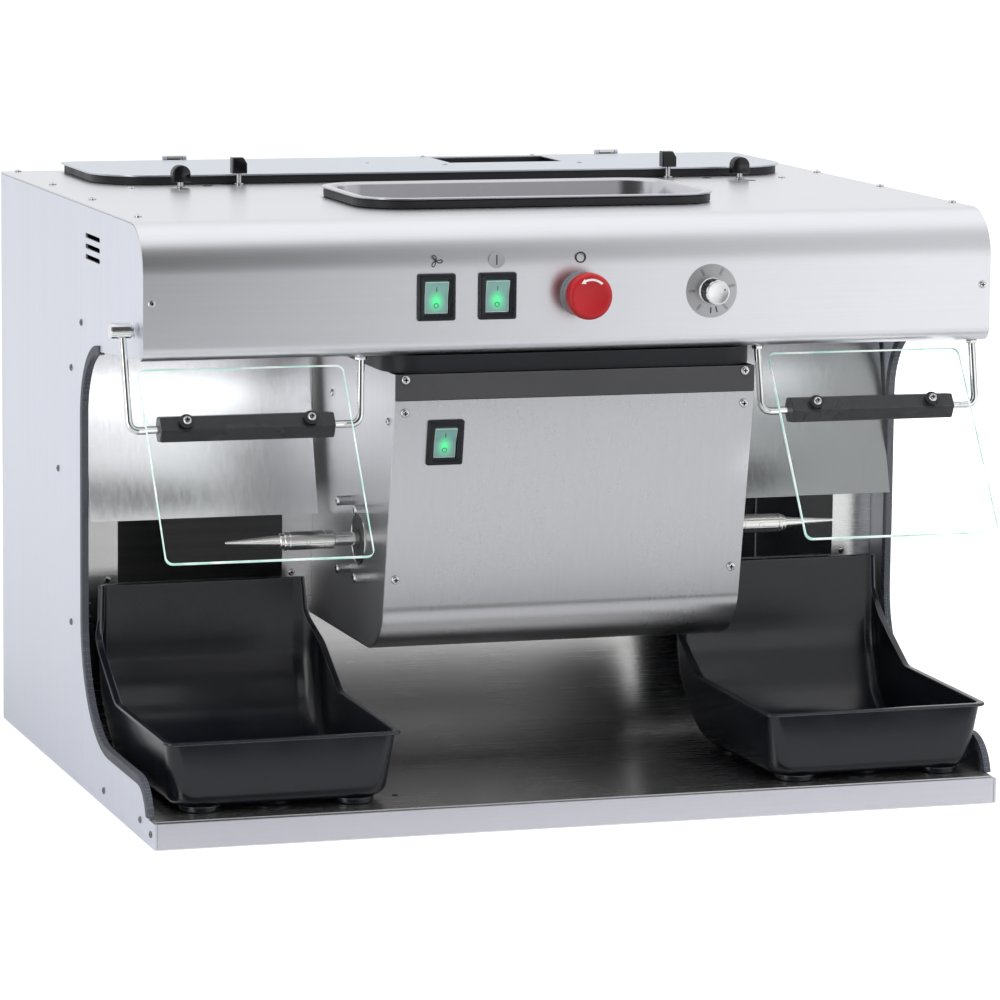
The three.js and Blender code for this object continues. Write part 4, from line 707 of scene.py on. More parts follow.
def rocker_switch(name, place, half_x, half_z):
    switch_bezel(name, place, half_x, half_z)
    tilted = place @ Matrix.Translation((0, 0, -2.1)) @ Matrix.Rotation(ROCKER_TILT, 4, "X")
    lens_x, lens_z = half_x - LENS_INSET, half_z - LENS_INSET
    rocker_lens(name, lens_x, lens_z, tilted)
    lens_rim(name, lens_x, lens_z, tilted)
    lens_marks(name, lens_z, tilted)


# Stop control: grey collar, black stem and red mushroom head with a dished face and an arrow
STOP_X = 3
HEAD_BACK = 13.1
HEAD_FRONT = 25.1
DISH_RADIUS = 14.4


def dish_height(radius):
    return HEAD_FRONT - 1.6 * (1 - (radius / DISH_RADIUS) ** 2)


def stop_arrow(place):
    arrow = [(48 + 64 * k / 24, 12.9, 14.7) for k in range(25)]
    arrow += [(112, 11.3, 15.9), (119, 12.3, 14.9), (127, 13.3, 13.8)]
    rings = []
    for degrees, inner, outer in arrow:
        corners = ((inner, 0.02), (outer, 0.02), (outer, 0.12), (inner, 0.12))
        rings.append([place @ polar(radius, math.radians(degrees), dish_height(radius) + lift)
                      for radius, lift in corners])
    make_piece("stop_arrow", lofted(rings), "stop_head", white_print)


def stop_control():
    place = on_front(STOP_X, CONTROL_Z)
    collar = (
        (7.5, -26), (11, -26), (11, SEAT), (18, SEAT), (18.4, 0.6), (18.4, 1.9), (18, 2.3), (16.4, 2.3),
        (16, 2.7), (16, 7.7), (15.5, 8.3), (7.5, 8.3))
    make_piece("stop_collar_ring", turned(collar, 64, place, loop=True), "cabinet",
               collar_grey, "stop_collar", smooth=50)
    head = [
        (0, 19.2), (3.3, 19.2), (3.3, HEAD_BACK), (16.9, HEAD_BACK), (17.9, 13.4), (18.6, 14.2), (18.9, 15.4),
        (18.9, 20.6), (18.7, 22.2), (18.1, 23.5), (17.2, 24.5), (16.1, 25.0), (15.2, HEAD_FRONT)]
    head += [(DISH_RADIUS * k / 8, dish_height(DISH_RADIUS * k / 8)) for k in range(8, -1, -1)]
    make_piece("stop_head_cap", turned(head, 72, place), "stop_head", stop_red, "stop_button",
               smooth=50)
    stop_arrow(place)
    stem = ((0, 18.9), (3, 18.9), (3, 12.8), (6.6, 12.8), (7, 12.4), (7, -6.9), (0, -6.9))
    make_piece("stop_stem_pin", turned(stem, 32, place), "stop_plunger", black_plastic,
               "stop_stem", smooth=50)


# Speed knob with ten flutes, on its printed dial disc
DIAL_X = 114.5
DIAL_RADIUS = 22
DIAL_NUMBERS = (("1000", 231), ("1500", 180), ("2000", 118), ("2500", 62), ("3000", 12), ("3500", -48))
NUMBER_RADIUS = 17.3
NUMBER_HEIGHT = 3.1
KNOB_SIDES = 100
KNOB_FLUTES = 10


def speed_knob(place):
    levels = (
        (2.9, -9), (2.9, SEAT), (10.8, SEAT), (11.1, 0.6), (11.1, 1.4), (10.7, 2.0), (10.3, 2.4), (10.2, 2.8),
        (10.2, 14.9), (9.9, 15.7), (9.3, 16.2), (8.8, 16.3), (8.5, 16.1), (0.01, 16.1))
    rings = []
    for radius, height in levels:
        depth = 0.9 if 2.7 < height < 15.0 else 0.0
        ring = []
        for k in range(KNOB_SIDES):
            angle = 2 * math.pi * k / KNOB_SIDES
            flute = max(0.0, math.cos(KNOB_FLUTES * angle)) ** 3 * depth
            ring.append(place @ polar(radius - flute, angle, height))
        rings.append(ring)
    bm = lofted(rings)
    # Faces on the fluted barrel take the darkened copy, a painted dark reflection; the face keeps the satin
    # metal
    for face in bm.faces:
        reach = (place.inverted() @ face.calc_center_median()).z
        face.material_index = 1 if 2.4 < reach < 15 else 0
    make_piece("speed_knob_turned", bm, "speed_control", (knob_metal, knob_barrel_painted_reflection),
               "speed_knob", smooth=35)
    dot = turned(disc(0.75, 16.0, 16.15), 16, place @ Matrix.Translation((5.6, 2.2, 0)))
    make_piece("speed_knob_dot", dot, "speed_control", black_print)


def lettering(bm, words, height, matrix):
    curve = bpy.data.curves.new(words, "FONT")
    curve.body = words
    curve.size = height
    curve.extrude = 0.02
    curve.align_x = "CENTER"
    curve.align_y = "CENTER"
    curve.resolution_u = 2
    holder = bpy.data.objects.new(words, curve)
    mesh = bpy.data.meshes.new_from_object(holder)
    mesh.transform(matrix)
    bm.from_mesh(mesh)
    bpy.data.objects.remove(holder)
    bpy.data.meshes.remove(mesh)
    bpy.data.curves.remove(curve)


def dial(place):
    rim = ((4, 0.01), (DIAL_RADIUS, 0.01), (DIAL_RADIUS, 0.2), (DIAL_RADIUS - 0.2, 0.26), (4, 0.26))
    make_piece("dial_disc", turned(rim, 72, place, loop=True), "cabinet", dial_grey)
    numbers = bmesh.new()
    for words, degrees in DIAL_NUMBERS:
        angle = math.radians(degrees)
        facing = angle if math.cos(angle) >= -0.05 else angle + math.pi
        spot = Matrix.Translation(polar(NUMBER_RADIUS, angle, 0.29))
        lettering(numbers, words, NUMBER_HEIGHT, place @ spot @ Matrix.Rotation(facing, 4, "Z"))
    make_piece("dial_numbers", numbers, "cabinet", black_print)
    ticks = bmesh.new()
    for degrees in (-92, -74):
        spot = place @ Matrix.Rotation(math.radians(degrees), 4, "Z")
        box_between(ticks, (13.4, -0.55, 0.27), (18.2, 0.55, 0.34), spot)
    make_piece("dial_ticks", ticks, "cabinet", black_print)


# Marks over the controls: fan loops round a hub, a bar on a pale disc, and a ring
def fan_loop():
    points = []
    for k in range(24):
        angle = 2 * math.pi * k / 24
        x = 2.75 + 2.3 * math.cos(angle)
        points.append((x, 1.6 * math.sin(angle) * (0.75 + 0.35 * math.cos(angle)) + 0.3 * (x - 0.5)))
    return points


def front_marks():
    bm = bmesh.new()
    fan_place, bar_place, ring_place = on_front(-119.9, 460), on_front(-69, 460), on_front(1.9, 460.7)
    for degrees in (100, 220, 340):
        closed_ribbon(bm, fan_loop(), 0.75, 0.06, fan_place @ Matrix.Rotation(math.radians(degrees), 4, "Z"))
    revolve(bm, disc(0.7, 0.0, 0.07), 16, fan_place)
    box_between(bm, (-0.5, -4, 0.05), (0.5, 4, 0.12), bar_place)
    revolve(bm, washer(3.5, 4.6, 0, 0.07), 40, ring_place, loop=True)
    make_piece("control_marks", bm, "cabinet", black_print)
    plate = turned(disc(6.8, 0.005, 0.05), 40, bar_place)
    make_piece("bar_mark_disc", plate, "cabinet", dial_grey)


# Domed screws with a cross recess, whose faces take the second material, a near-black painted shade
def screw(bm, place, radius, height):
    dome = ((1.0, 0.0), (1.0, 0.3), (0.95, 0.58), (0.84, 0.82), (0.66, 0.97), (0.5, 1.0))
    rows = skin(bm, [circle(radius * r, height * h, 24, place) for r, h in dome], open_end=True)
    arm, wide = 0.48 * radius, 0.16 * radius
    cross = ((arm, -wide), (arm, wide), (wide, wide), (wide, arm), (-wide, arm), (-wide, wide), (-arm, wide),
             (-arm, -wide), (-wide, -wide), (-wide, -arm), (wide, -arm), (wide, -wide))
    top = [bm.verts.new(point) for point in lay(cross, height, place)]
    floor = [(x * 0.8, y * 0.8) for x, y in cross]
    low = [bm.verts.new(point) for point in lay(floor, height * 0.45, place)]
    for k in range(12):
        n = (k + 1) % 12
        bm.faces.new((top[k], top[n], low[n], low[k])).material_index = 1
    bm.faces.new(low).material_index = 1
    edges = [bm.edges.get((rows[-1][k], rows[-1][(k + 1) % 24])) for k in range(24)]
    edges += [bm.edges.get((top[k], top[(k + 1) % 12])) for k in range(12)]
    bmesh.ops.bridge_loops(bm, edges=edges)


def screws_piece(name, spots, body="cabinet", steel=screw_steel):
    bm = bmesh.new()
    for place, radius, height in spots:
        screw(bm, place, radius, height)
    make_piece(name, bm, body, (steel, recess_painted_shade), smooth=40)


# Screw and plug places: (x, y) on level sheets, (y, z) on upright ones, and (y, z) from the spindle's axis
# for the flange screws
TOP_EDGE_SCREWS = (-174, -12, 140, 280)
SIDE_SCREWS = ((-32.4, 393), (5.6, 351), (56.7, 259), (8.2, 135), (-111.6, 14), (-240, 16), (-275.7, 11.4),
               (-202, 404))
HOUSING_SCREWS = ((-62.1, 331.8), (-230.4, 329.3))
FLANGE_SCREWS = ((-26, -28), (-26, 28), (26, -28), (26, 28))
COVER_SCREW_X = 144.5
REAR_COLUMNS = (-345, -115, 115, 345)
REAR_ROWS = (18, 250, 476)
LID_SCREWS = ((19.1, 184.2), (145, 184.2), (129, 272), (25, 272))
TOP_PLUGS = ((-219, 102.3), (-245.4, 76.3), (236.6, 101), (266.3, 69.2))
FLOOR_PLUGS = ((195.8, -57.6), (-146, -233))


def cabinet_screws():
    spots = []
    for side in (-1, 1):
        spots.append((on_front(side * 353, CONTROL_Z), 3.2, 1.6))
        spots += [(on_top(356 if side > 0 else -346, y), 3.3, 1.8) for y in TOP_EDGE_SCREWS]
        spots.append((on_front(side * COVER_SCREW_X, 365, COVER_FRONT_Y), 3.7, 1.9))
        spots += [(on_cover(side * COVER_SCREW_X, drop), 3.8, 1.9) for drop in (10, 149)]
        spots += [(on_side(side, y, z, HOUSING_HALF), 3.0, 1.6) for y, z in HOUSING_SCREWS]
        spots += [(on_side(side, SPINDLE_Y + y, SPINDLE_Z + z, HOUSING_HALF + 10), 4.2, 2.2)
                  for y, z in FLANGE_SCREWS]
        spots += [(on_front(side * x, 171, 0), 3.0, 1.6) for x in (331, 170.5)]
    spots += [(on_top(x, 92), 3.2, 1.5) for x in (-288, 304)]
    spots += [(on_top(x, y, LID_TOP_Z), 2.6, 1.2) for x, y in LID_SCREWS]
    screws_piece("cabinet_screws", spots)
    side_spots = [(on_side(side, y, z), 2.9, 1.4) for side in (-1, 1) for y, z in SIDE_SCREWS]
    screws_piece("side_screws", side_spots, steel=dark_screw)


def rivet_and_plugs():
    rivet = turned(((0, 0), (1.9, 0), (1.7, 0.5), (0, 0.6)), 16, on_top(-44.4, 212.9, LID_TOP_Z))
    make_piece("lid_rivet", rivet, "lid", screw_steel)
    bm = bmesh.new()
    for x, y in TOP_PLUGS:
        revolve(bm, ((0, 0.02), (4.6, 0.02), (4.4, 0.2), (0, 0.2)), 28, on_top(x, y))
    for x, y in FLOOR_PLUGS:
        revolve(bm, ((0, 0.0), (2.6, 0.0), (2.4, 0.5), (0, 0.7)), 20, on_top(x, y, FLOOR_TOP_Z))
    make_piece("blanking_plugs", bm, "cabinet", black_plastic)


# Shields: bent rods, hexagonal bar with its clamp screws, and the pane
LEFT_SHIELD_X = -273.8
RIGHT_SHIELD_X = 258.7
ROD_RADIUS = 3
ROD_REACH = 94.7
ROD_START = 49.8
ROD_BEND = 9
BOSS_RISE = 78.8
NUT_RISE = 51.3
BAR_HALF = 71.5
BAR_WIDTH = 20
BORE_DEPTH = 22
BORE_RADIUS = 3.3
PANE_HALF_X = 84.5
PANE_HALF_Z = 85.25
PANE_MIDDLE = (0, -38.25)


# A rod runs out of the bar, bends up, and ends in a boss on the side plate or, through a nut, in the hood
def shield_rod(name, centre_x, side, splay, on_boss):
    def arm(rise):
        share = rise / 56.6
        return Vector((side * (ROD_REACH + splay * share), 7.5 * share, rise))

    start, corner, leave = Vector((side * (ROD_REACH - ROD_BEND), 0, 0)), arm(0), arm(ROD_BEND)
    path = [Vector((side * ROD_START, 0, 0)), start]
    for k in range(1, 12):
        t = k / 12
        path.append(start * (1 - t) ** 2 + corner * 2 * t * (1 - t) + leave * t * t)
    top = arm(BOSS_RISE if on_boss else 64.6)
    path += [leave, leave.lerp(top, 0.5), top]
    bm = bmesh.new()
    tube(bm, path, ROD_RADIUS, 24)
    if on_boss:
        boss = ((0, -10), (5.6, -10), (6.4, -9.2), (6.4, 6.4), (5.6, 7.0), (5.6, 7.8), (6.4, 8.4),
                (6.2, 9.4), (5.4, 10), (0, 10))
        revolve(bm, boss, 36, on_side(1, top.y, top.z, top.x))
    else:
        spot = Matrix.Translation(arm(NUT_RISE))
        for bottom, height, radius, sides in ((0, 3.1, 5.0, 6), (3.1, 1.9, 4.4, 24)):
            skin(bm, [circle(radius * r, bottom + height * h, sides, spot)
                      for r, h in ((0.94, 0), (1, 0.12), (1, 0.88), (0.94, 1))])
    bm.transform(Matrix.Translation((centre_x, SHIELD_Y, SHIELD_Z)))
    make_piece(f"{name}_bent", bm, "cabinet", chrome, name, smooth=40)


# Both rings of the bar's ends have 24 points, so the hexagon's sides are cut in four
def hexagon_ring(x, scale):
    corner = BAR_WIDTH / math.sqrt(3) * scale
    points = []
    for k in range(6):
        first, second = (polar(corner, math.radians(30 + 60 * n)) for n in (k, k + 1))
        points += [Vector((x, *first.lerp(second, step / 4).xy)) for step in range(4)]
    return points


def bore_ring(x):
    points = [polar(BORE_RADIUS, math.radians(30) + 2 * math.pi * k / 24) for k in range(24)]
    return [Vector((x, *point.xy)) for point in points]


def tilting_shield(name, centre_x):
    tilt = Matrix.Translation((centre_x, SHIELD_Y, SHIELD_Z)) @ Matrix.Rotation(-SHIELD_ANGLE, 4, "X")
    bar = lofted([
        bore_ring(BORE_DEPTH - BAR_HALF), bore_ring(-BAR_HALF), hexagon_ring(-BAR_HALF, 0.9),
        hexagon_ring(0.9 - BAR_HALF, 1), hexagon_ring(0, 1), hexagon_ring(BAR_HALF - 0.9, 1),
        hexagon_ring(BAR_HALF, 0.9), bore_ring(BAR_HALF), bore_ring(BAR_HALF - BORE_DEPTH)])
    bar.transform(tilt)
    make_piece(f"{name}_hexagon_bar", bar, name, black_plastic, f"{name}_bar", bevel=0.35,
               smooth=25)
    pane = lofted([
        [Vector((x, depth, z)) for x, z in
         rounded_outline(PANE_HALF_X - inset, PANE_HALF_Z - inset, 6 - inset, 8, PANE_MIDDLE)]
        for inset, depth in ((0.4, -14.3), (0, -13.9), (0, -10.7), (0.4, -10.3))])
    for face in pane.faces:
        face.material_index = 0 if len(face.verts) > 4 else 1
    pane.transform(tilt)
    make_piece(f"{name}_pane", pane, name, (glass_face, glass_rim_glow), f"{name}_glass", smooth=15)
    washers = bmesh.new()
    spots = [tilt @ on_front(side * 51, 0, -14.6) for side in (-1, 1)]
    for spot in spots:
        revolve(washers, ((0, -4.6), (1.9, -4.6), (1.9, 0), (6, 0), (6, 0.7), (5.7, 1.0), (0, 1.0)), 32, spot)
    make_piece(f"{name}_washers", washers, name, seal_rubber)
    heads = [(spot @ Matrix.Translation((0, 0, 1)), 3.7, 2.6) for spot in spots]
    screws_piece(f"{name}_clamp_screws", heads, name)


def shields():
    shield_rod("left_shield_outer_rod", LEFT_SHIELD_X, -1, 2.5, True)
    shield_rod("left_shield_inner_rod", LEFT_SHIELD_X, 1, 2.5, False)
    shield_rod("right_shield_inner_rod", RIGHT_SHIELD_X, -1, 2.5, False)
    shield_rod("right_shield_outer_rod", RIGHT_SHIELD_X, 1, -1.6, False)
    tilting_shield("left_shield", LEFT_SHIELD_X)
    tilting_shield("right_shield", RIGHT_SHIELD_X)


# Taper spindles with their sleeves, turned grooves and grub screws, out of an opening in the wall drawn as a
# flat ring of painted shade
TAPER_START = 221.4
TAPER_LENGTH = 43.4
TAPER_ROOT = 4.8
TAPER_TIP = 1.35
TAPER_TURNS = 22


def spindle(name, side):
    place = on_side(side, SPINDLE_Y, SPINDLE_Z, 0)
    profile = [
        (0, 187.3), (5.9, 187.3), (5.9, 175.0), (7.3, 175.0), (7.8, 175.5), (7.8, 183.0), (7.4, 183.3),
        (7.4, 183.9), (7.8, 184.2), (7.8, 212.6), (7.3, 213.1), (7.3, 214.4), (7.8, 214.9), (7.8, 216.9),
        (7.3, 217.5), (6.6, 217.5), (6.6, 220.4), (6.2, 220.9), (5.0, 220.9), (TAPER_ROOT, TAPER_START)]
    for k in range(1, TAPER_TURNS):
        share = k / TAPER_TURNS
        ridge = 0.06 if k % 2 else -0.06
        radius = TAPER_ROOT + (TAPER_TIP - TAPER_ROOT) * share
        profile.append((radius + ridge, TAPER_START + TAPER_LENGTH * share))
    profile += [(1.25, 265.2), (0.9, 266.1), (0.4, 266.45), (0, 266.5)]
    make_piece(f"{name}_taper", turned(profile, 56, place), "rotor", ground_steel,
               f"{name}_spindle", smooth=28)
    grub = turned(((2.4, -0.6), (2.4, 0.35), (2.0, 0.5), (1.4, 0.5), (1.1, -0.3)), 24,
                  on_front(side * 198, SPINDLE_Z - 0.5, SPINDLE_Y - 7.35))
    make_piece(f"{name}_grub_screw", grub, "rotor", screw_steel, smooth=30)
    wall = on_side(side, SPINDLE_Y, SPINDLE_Z, HOUSING_HALF)
    # A flat near-black ring on the wall is painted shade in the shaft's opening
    opening = turned(washer(8.6, 20, 0.02, 0.12), 64, wall, loop=True)
    make_piece(f"{name}_shaft_opening", opening, "cabinet", bearing_shade)
    section = ((19.9, 0.02), (20.9, 0.02), (20.9, 0.6), (20.5, 0.9), (20.1, 0.7), (19.9, 0.3))
    rim = turned(section, 64, wall, loop=True)
    make_piece(f"{name}_opening_rim", rim, "cabinet", chrome, smooth=40)


# Scoop trays: rings of one shell, from the outer floor up, over the flange and down inside
TRAY_HALF = 98.5
TRAY_LOW = 27.3
TRAY_FRONT_Y = -270
TRAY_BACK_Y = -28
TRAY_UPRIGHT_Y = TRAY_BACK_Y - 2.5
TRAY_RIM_Z = 82.5
TRAY_BACK_Z = 172
TRAY_SCOOP = 85
TRAY_FLANGE = 3.3
TRAY_WALL = 2.5
TRAY_DRAFT = 0.09
TRAY_CORNER = 9
INNER_CORNER = 22
OUTER_CORNER = 11
TRAY_STRAIGHT = 40
RIM_RISE = 3
RIM_KINK = 16
RIM_CLIMB = math.radians(31)
RIM_SWEEP = 38
RIM_SWEEP_Z = 150


# The rim rises a little, kinks into a climb, and sweeps up to the back
def rim_height(y):
    kink_z = TRAY_RIM_Z + RIM_RISE
    sweep_y = TRAY_UPRIGHT_Y - RIM_SWEEP
    climb_y = sweep_y + RIM_SWEEP * math.sin(RIM_CLIMB)
    climb_z = RIM_SWEEP_Z - RIM_SWEEP * math.cos(RIM_CLIMB)
    kink_y = climb_y - (climb_z - kink_z) / math.tan(RIM_CLIMB) - RIM_KINK * math.tan(RIM_CLIMB / 2)
    if y <= kink_y:
        return TRAY_RIM_Z + RIM_RISE * (y - TRAY_FRONT_Y) / (kink_y - TRAY_FRONT_Y)
    if y <= kink_y + RIM_KINK * math.sin(RIM_CLIMB):
        return kink_z + RIM_KINK - math.sqrt(RIM_KINK ** 2 - (y - kink_y) ** 2)
    if y <= climb_y:
        return climb_z - (climb_y - y) * math.tan(RIM_CLIMB)
    if y < TRAY_UPRIGHT_Y - 0.01:
        return RIM_SWEEP_Z - math.sqrt(RIM_SWEEP ** 2 - (y - sweep_y) ** 2)
    return TRAY_BACK_Z


# Plan of the tray, counterclockwise from its front left: the rear corners differ, inner and outer
def tray_plan(half, front, back, front_corner, inner_corner, outer_corner):
    near, inner, outer = front + front_corner, back - inner_corner, back - outer_corner
    return (straight((front_corner - half, front), (half - front_corner, front), 7)
            + arc(half - front_corner, near, front_corner, -90, 8)
            + straight((half, near), (half, inner), 36)
            + arc(half - inner_corner, inner, inner_corner, 0, 12)
            + straight((half - inner_corner, back), (outer_corner - half, back), 8)
            + arc(outer_corner - half, outer, outer_corner, 90, 12)
            + straight((-half, outer), (-half, near), 36)
            + arc(front_corner - half, near, front_corner, 180, 8))


def limited(value, top):
    return min(max(value, 0), top)


def tray_plan_at(z, inset, back):
    low = TRAY_LOW + inset
    draft = max(TRAY_RIM_Z - z, 0) * TRAY_DRAFT
    squeeze = TRAY_CORNER * (1 - math.sqrt(1 - (1 - limited((z - low) / TRAY_CORNER, 1)) ** 2))
    scoop = TRAY_SCOOP - inset
    rear = back - scoop + math.sqrt(scoop ** 2 - limited(low + scoop - z, scoop) ** 2)
    pulled_in = TRAY_FLANGE + inset + draft + squeeze
    front_corner = TRAY_CORNER + TRAY_CORNER * limited((TRAY_RIM_Z - z) / 50, 1)
    return tray_plan(TRAY_HALF - pulled_in, TRAY_FRONT_Y + pulled_in, rear, front_corner - inset,
                     INNER_CORNER - inset, OUTER_CORNER - inset)


# Heights of the wall's top all round, with rounded upper corners of the back
def tray_tops():
    tops = []
    for x, y in tray_plan_at(TRAY_BACK_Z, 0, TRAY_BACK_Y):
        bend = 18 if x > 0 else 10
        cap = TRAY_BACK_Z - bend + math.sqrt(max(bend ** 2 - max(abs(x) - TRAY_HALF + bend, 0) ** 2, 0))
        tops.append(min(rim_height(min(y, TRAY_UPRIGHT_Y) if y < TRAY_BACK_Y - 1 else 0), cap))
    return tops


def tray_wall(inset, back, tops, top_drop):
    low = TRAY_LOW + inset
    rings = []
    for rise in (0, 0.25, 0.9, 2.0, 3.6, 5.8, 9.0, 14, 21, 30, TRAY_STRAIGHT):
        rings.append([Vector((x, y, low + rise)) for x, y in tray_plan_at(low + rise, inset, back)])
    for k in range(1, 11):
        ring = []
        for index, top in enumerate(tops):
            z = low + TRAY_STRAIGHT + (top - top_drop - low - TRAY_STRAIGHT) * k / 10
            ring.append(Vector((*tray_plan_at(z, inset, back)[index], z)))
        rings.append(ring)
    return rings


def tray_shell():
    tops = tray_tops()
    rings = tray_wall(0, TRAY_BACK_Y, tops, 2.6)
    for grow, drop in ((2.6, 2.6), (3.2, 2.2), (3.3, 0.7), (3.0, 0.2), (2.2, 0.0), (-1.6, 0.0), (-2.2, 0.25)):
        inward = min(grow, 0)
        plan = tray_plan(TRAY_HALF - TRAY_FLANGE + grow, TRAY_FRONT_Y + TRAY_FLANGE - grow,
                         TRAY_BACK_Y + inward * 1.5, TRAY_CORNER + inward, INNER_CORNER + inward,
                         OUTER_CORNER + inward)
        rings.append([Vector((x, y, top - drop)) for (x, y), top in zip(plan, tops)])
    rings += reversed(tray_wall(TRAY_WALL, TRAY_BACK_Y - 4.0, tops, 0.6))
    bm = lofted(rings)
    for x, y in ((-64, -244.7), (64, -244.7), (0, -232.7), (-64, -113), (64, -113)):
        revolve(bm, ((0, 0), (16.2, 0), (17, 0.8), (17, 4.6), (0, 4.6)), 40, on_top(x, y, FLOOR_TOP_Z + SEAT))
    return bm


def trays():
    turn = Matrix.Rotation(math.radians(0.8), 4, "Z")
    for name, x, y in (("left", -252.3, 0), ("right", 254.6, -5)):
        bm = tray_shell()
        if name == "right":
            bm.transform(Matrix.Scale(-1, 4, (1, 0, 0)))
            bmesh.ops.reverse_faces(bm, faces=bm.faces)
        bm.transform(Matrix.Translation((x, y, 0)) @ turn)
        make_piece(f"{name}_scoop_tray", bm, f"{name}_tray", tray_plastic,
                   f"{name}_catch_tray", smooth=50)


# Parts pan: rolled rim, walls with draft and a rounded floor, each layer as its inset and height
def parts_pan():
    outside = ((21.5, -51), (17.5, -50.4), (14.6, -48), (13.5, -43), (8.7, 6.6), (8.0, 7.5))
    rim = ((0.4, 7.5), (0.0, 7.9), (0.0, 8.5), (0.5, 9.0), (6.3, 9.0), (7.6, 8.75), (8.7, 8.0), (9.6, 6.6))
    inside = ((15, -41.5), (15.6, -44.4), (17.2, -47), (19.6, -48.8), (23, -49.5))
    layers = [(inset, max(42 - inset, 8), z) for inset, z in outside + rim + inside]
    bm = lofted(inset_rings(156.5, 84.5, layers, on_top(5.6, -67.5), 10))
    make_piece("parts_pan_pressed", bm, "parts_pan", pan_steel, "top_pan", smooth=50)


# Lid clamps: wedge toggles and ribbed arched knobs, both on plated posts
CLAMP_MIDDLE = 7.5
CLAMP_Z = HOOD_TOP_Z + SEAT


def clamp_post(name, body, top, place):
    profile = ((0, 0), (4.6, 0), (4.6, 0.9), (4.2, 1.2), (2.6, 1.2), (2.6, top), (0, top))
    make_piece(name, turned(profile, 28, place), body, chrome, smooth=40)


def lid_toggle(name, side):
    place = on_top(CLAMP_MIDDLE + side * 196, 112, CLAMP_Z)
    half, deep, lift, tall = 6.6, 5.2, 9.4, 14.0
    middle, top = lift + tall / 2, lift + tall
    wedge = ((-half, lift), (half, lift), (half, lift + tall * 0.62), (half * 0.5, top), (-half, top))
    rings = [[place @ Vector((x * scale, y, middle + (z - middle) * scale)) for x, z in wedge]
             for y, scale in ((-deep, 0.9), (-deep + 0.8, 1), (deep - 0.8, 1), (deep, 0.9))]
    make_piece(f"{name}_toggle_wedge", lofted(rings), f"{name}_lid_toggle", gloss_black,
               f"{name}_toggle", bevel=0.7, segments=3)
    clamp_post(f"{name}_toggle_post", f"{name}_lid_toggle", 12, place)


def arched_outline(half, low, spring, inset):
    reach = half - inset
    points = [(-reach, low + inset * 0.4), (reach, low + inset * 0.4)]
    return points + [(reach * math.cos(math.pi * k / 16), spring + reach * math.sin(math.pi * k / 16))
                     for k in range(17)]


def clamp_knob(name, side):
    place = on_top(CLAMP_MIDDLE + side * 254, 86, CLAMP_Z)
    half, deep, low, tall = 7.8, 5.75, 5, 14.5
    groove = ((-0.65, 0.0), (-0.45, 0.3), (-0.3, 1.4), (0.3, 1.4), (0.45, 0.3), (0.65, 0.0))
    stations = [(-deep, 1.0), (-deep + 0.5, 0.2), (-deep + 0.9, 0.0)]
    for k in (-1, 0, 1):
        stations += [(k * deep / 2 + y, inset) for y, inset in groove]
    stations += [(deep - 0.9, 0.0), (deep - 0.5, 0.2), (deep, 1.0)]
    rings = [[place @ Vector((x, y, z)) for x, z in arched_outline(half, low, low + tall - half, inset)]
             for y, inset in stations]
    make_piece(f"{name}_clamp_grip", lofted(rings), f"{name}_lid_clamp", gloss_black,
               f"{name}_clamp_knob", smooth=35)
    clamp_post(f"{name}_clamp_post", f"{name}_lid_clamp", 6.4, place)


def rear_details():
    screws_piece("rear_screws", [(on_rear(x, z), 3.2, 1.6) for x in REAR_COLUMNS for z in REAR_ROWS])
    bm = bmesh.new()
    for x, z in ((-277, 72), (-263, 72), (-270, 66)):
        box_between(bm, (x - 1, 269, z - 2), (x + 1, 286, z + 2))
    make_piece("inlet_pins", bm, "cabinet", ground_steel, bevel=0.3)


for name, place, half_x, half_z in SWITCHES:
    rocker_switch(name, place, half_x, half_z)
stop_control()
speed_knob(on_front(DIAL_X, CONTROL_Z))
dial(on_front(DIAL_X, CONTROL_Z))
front_marks()
cabinet_screws()
rivet_and_plugs()
shields()
for name, side in SIDES:
    spindle(name, side)
    lid_toggle(name, side)
    clamp_knob(name, side)
trays()
parts_pan()
rear_details()


# Camera at the photograph's place: yaw and pitch towards the machine, slight roll
def place_camera():
    yaw, pitch, roll = math.radians(17.65), math.radians(8.38), math.radians(0.57)
    forward = Vector((math.sin(yaw) * math.cos(pitch), math.cos(yaw) * math.cos(pitch), -math.sin(pitch)))
    level = Vector((math.cos(yaw), -math.sin(yaw), 0))
    upright = level.cross(forward)
    right = level * math.cos(roll) + upright * math.sin(roll)
    up = upright * math.cos(roll) - level * math.sin(roll)
    data = bpy.data.cameras.new("photograph view")
    data.lens = 179.165
    data.sensor_width = 36
    data.clip_start = 0.1
    data.clip_end = 60
    camera = bpy.data.objects.new("photograph view", data)
    camera.matrix_world = basis(right, up, -forward, *(CABINET + Vector((-1.270, -4.039, 0.851))))
    bpy.context.scene.collection.objects.link(camera)
    bpy.context.scene.camera = camera


# The world lights the machine gently, and shows as white to the camera, mirrors and glass
def light_world():
    world = bpy.data.worlds.new("studio")
    bpy.context.scene.world = world
    world.use_nodes = True
    tree = world.node_tree
    tree.nodes.clear()
    fill = add_node(tree, "ShaderNodeBackground", {"Color": (0.96, 0.98, 1.0, 1), "Strength": 0.55})
    white = add_node(tree, "ShaderNodeBackground", {"Color": (1, 1, 1, 1), "Strength": 1.0})
    path = add_node(tree, "ShaderNodeLightPath").outputs
    seen = calc(tree, "MAXIMUM", path["Is Camera Ray"], path["Is Glossy Ray"])
    seen = calc(tree, "MAXIMUM", seen, path["Is Transmission Ray"])
    choose = add_node(tree, "ShaderNodeMixShader", {0: seen, 1: fill.outputs[0], 2: white.outputs[0]})
    add_node(tree, "ShaderNodeOutputWorld", {"Surface": choose.outputs[0]})


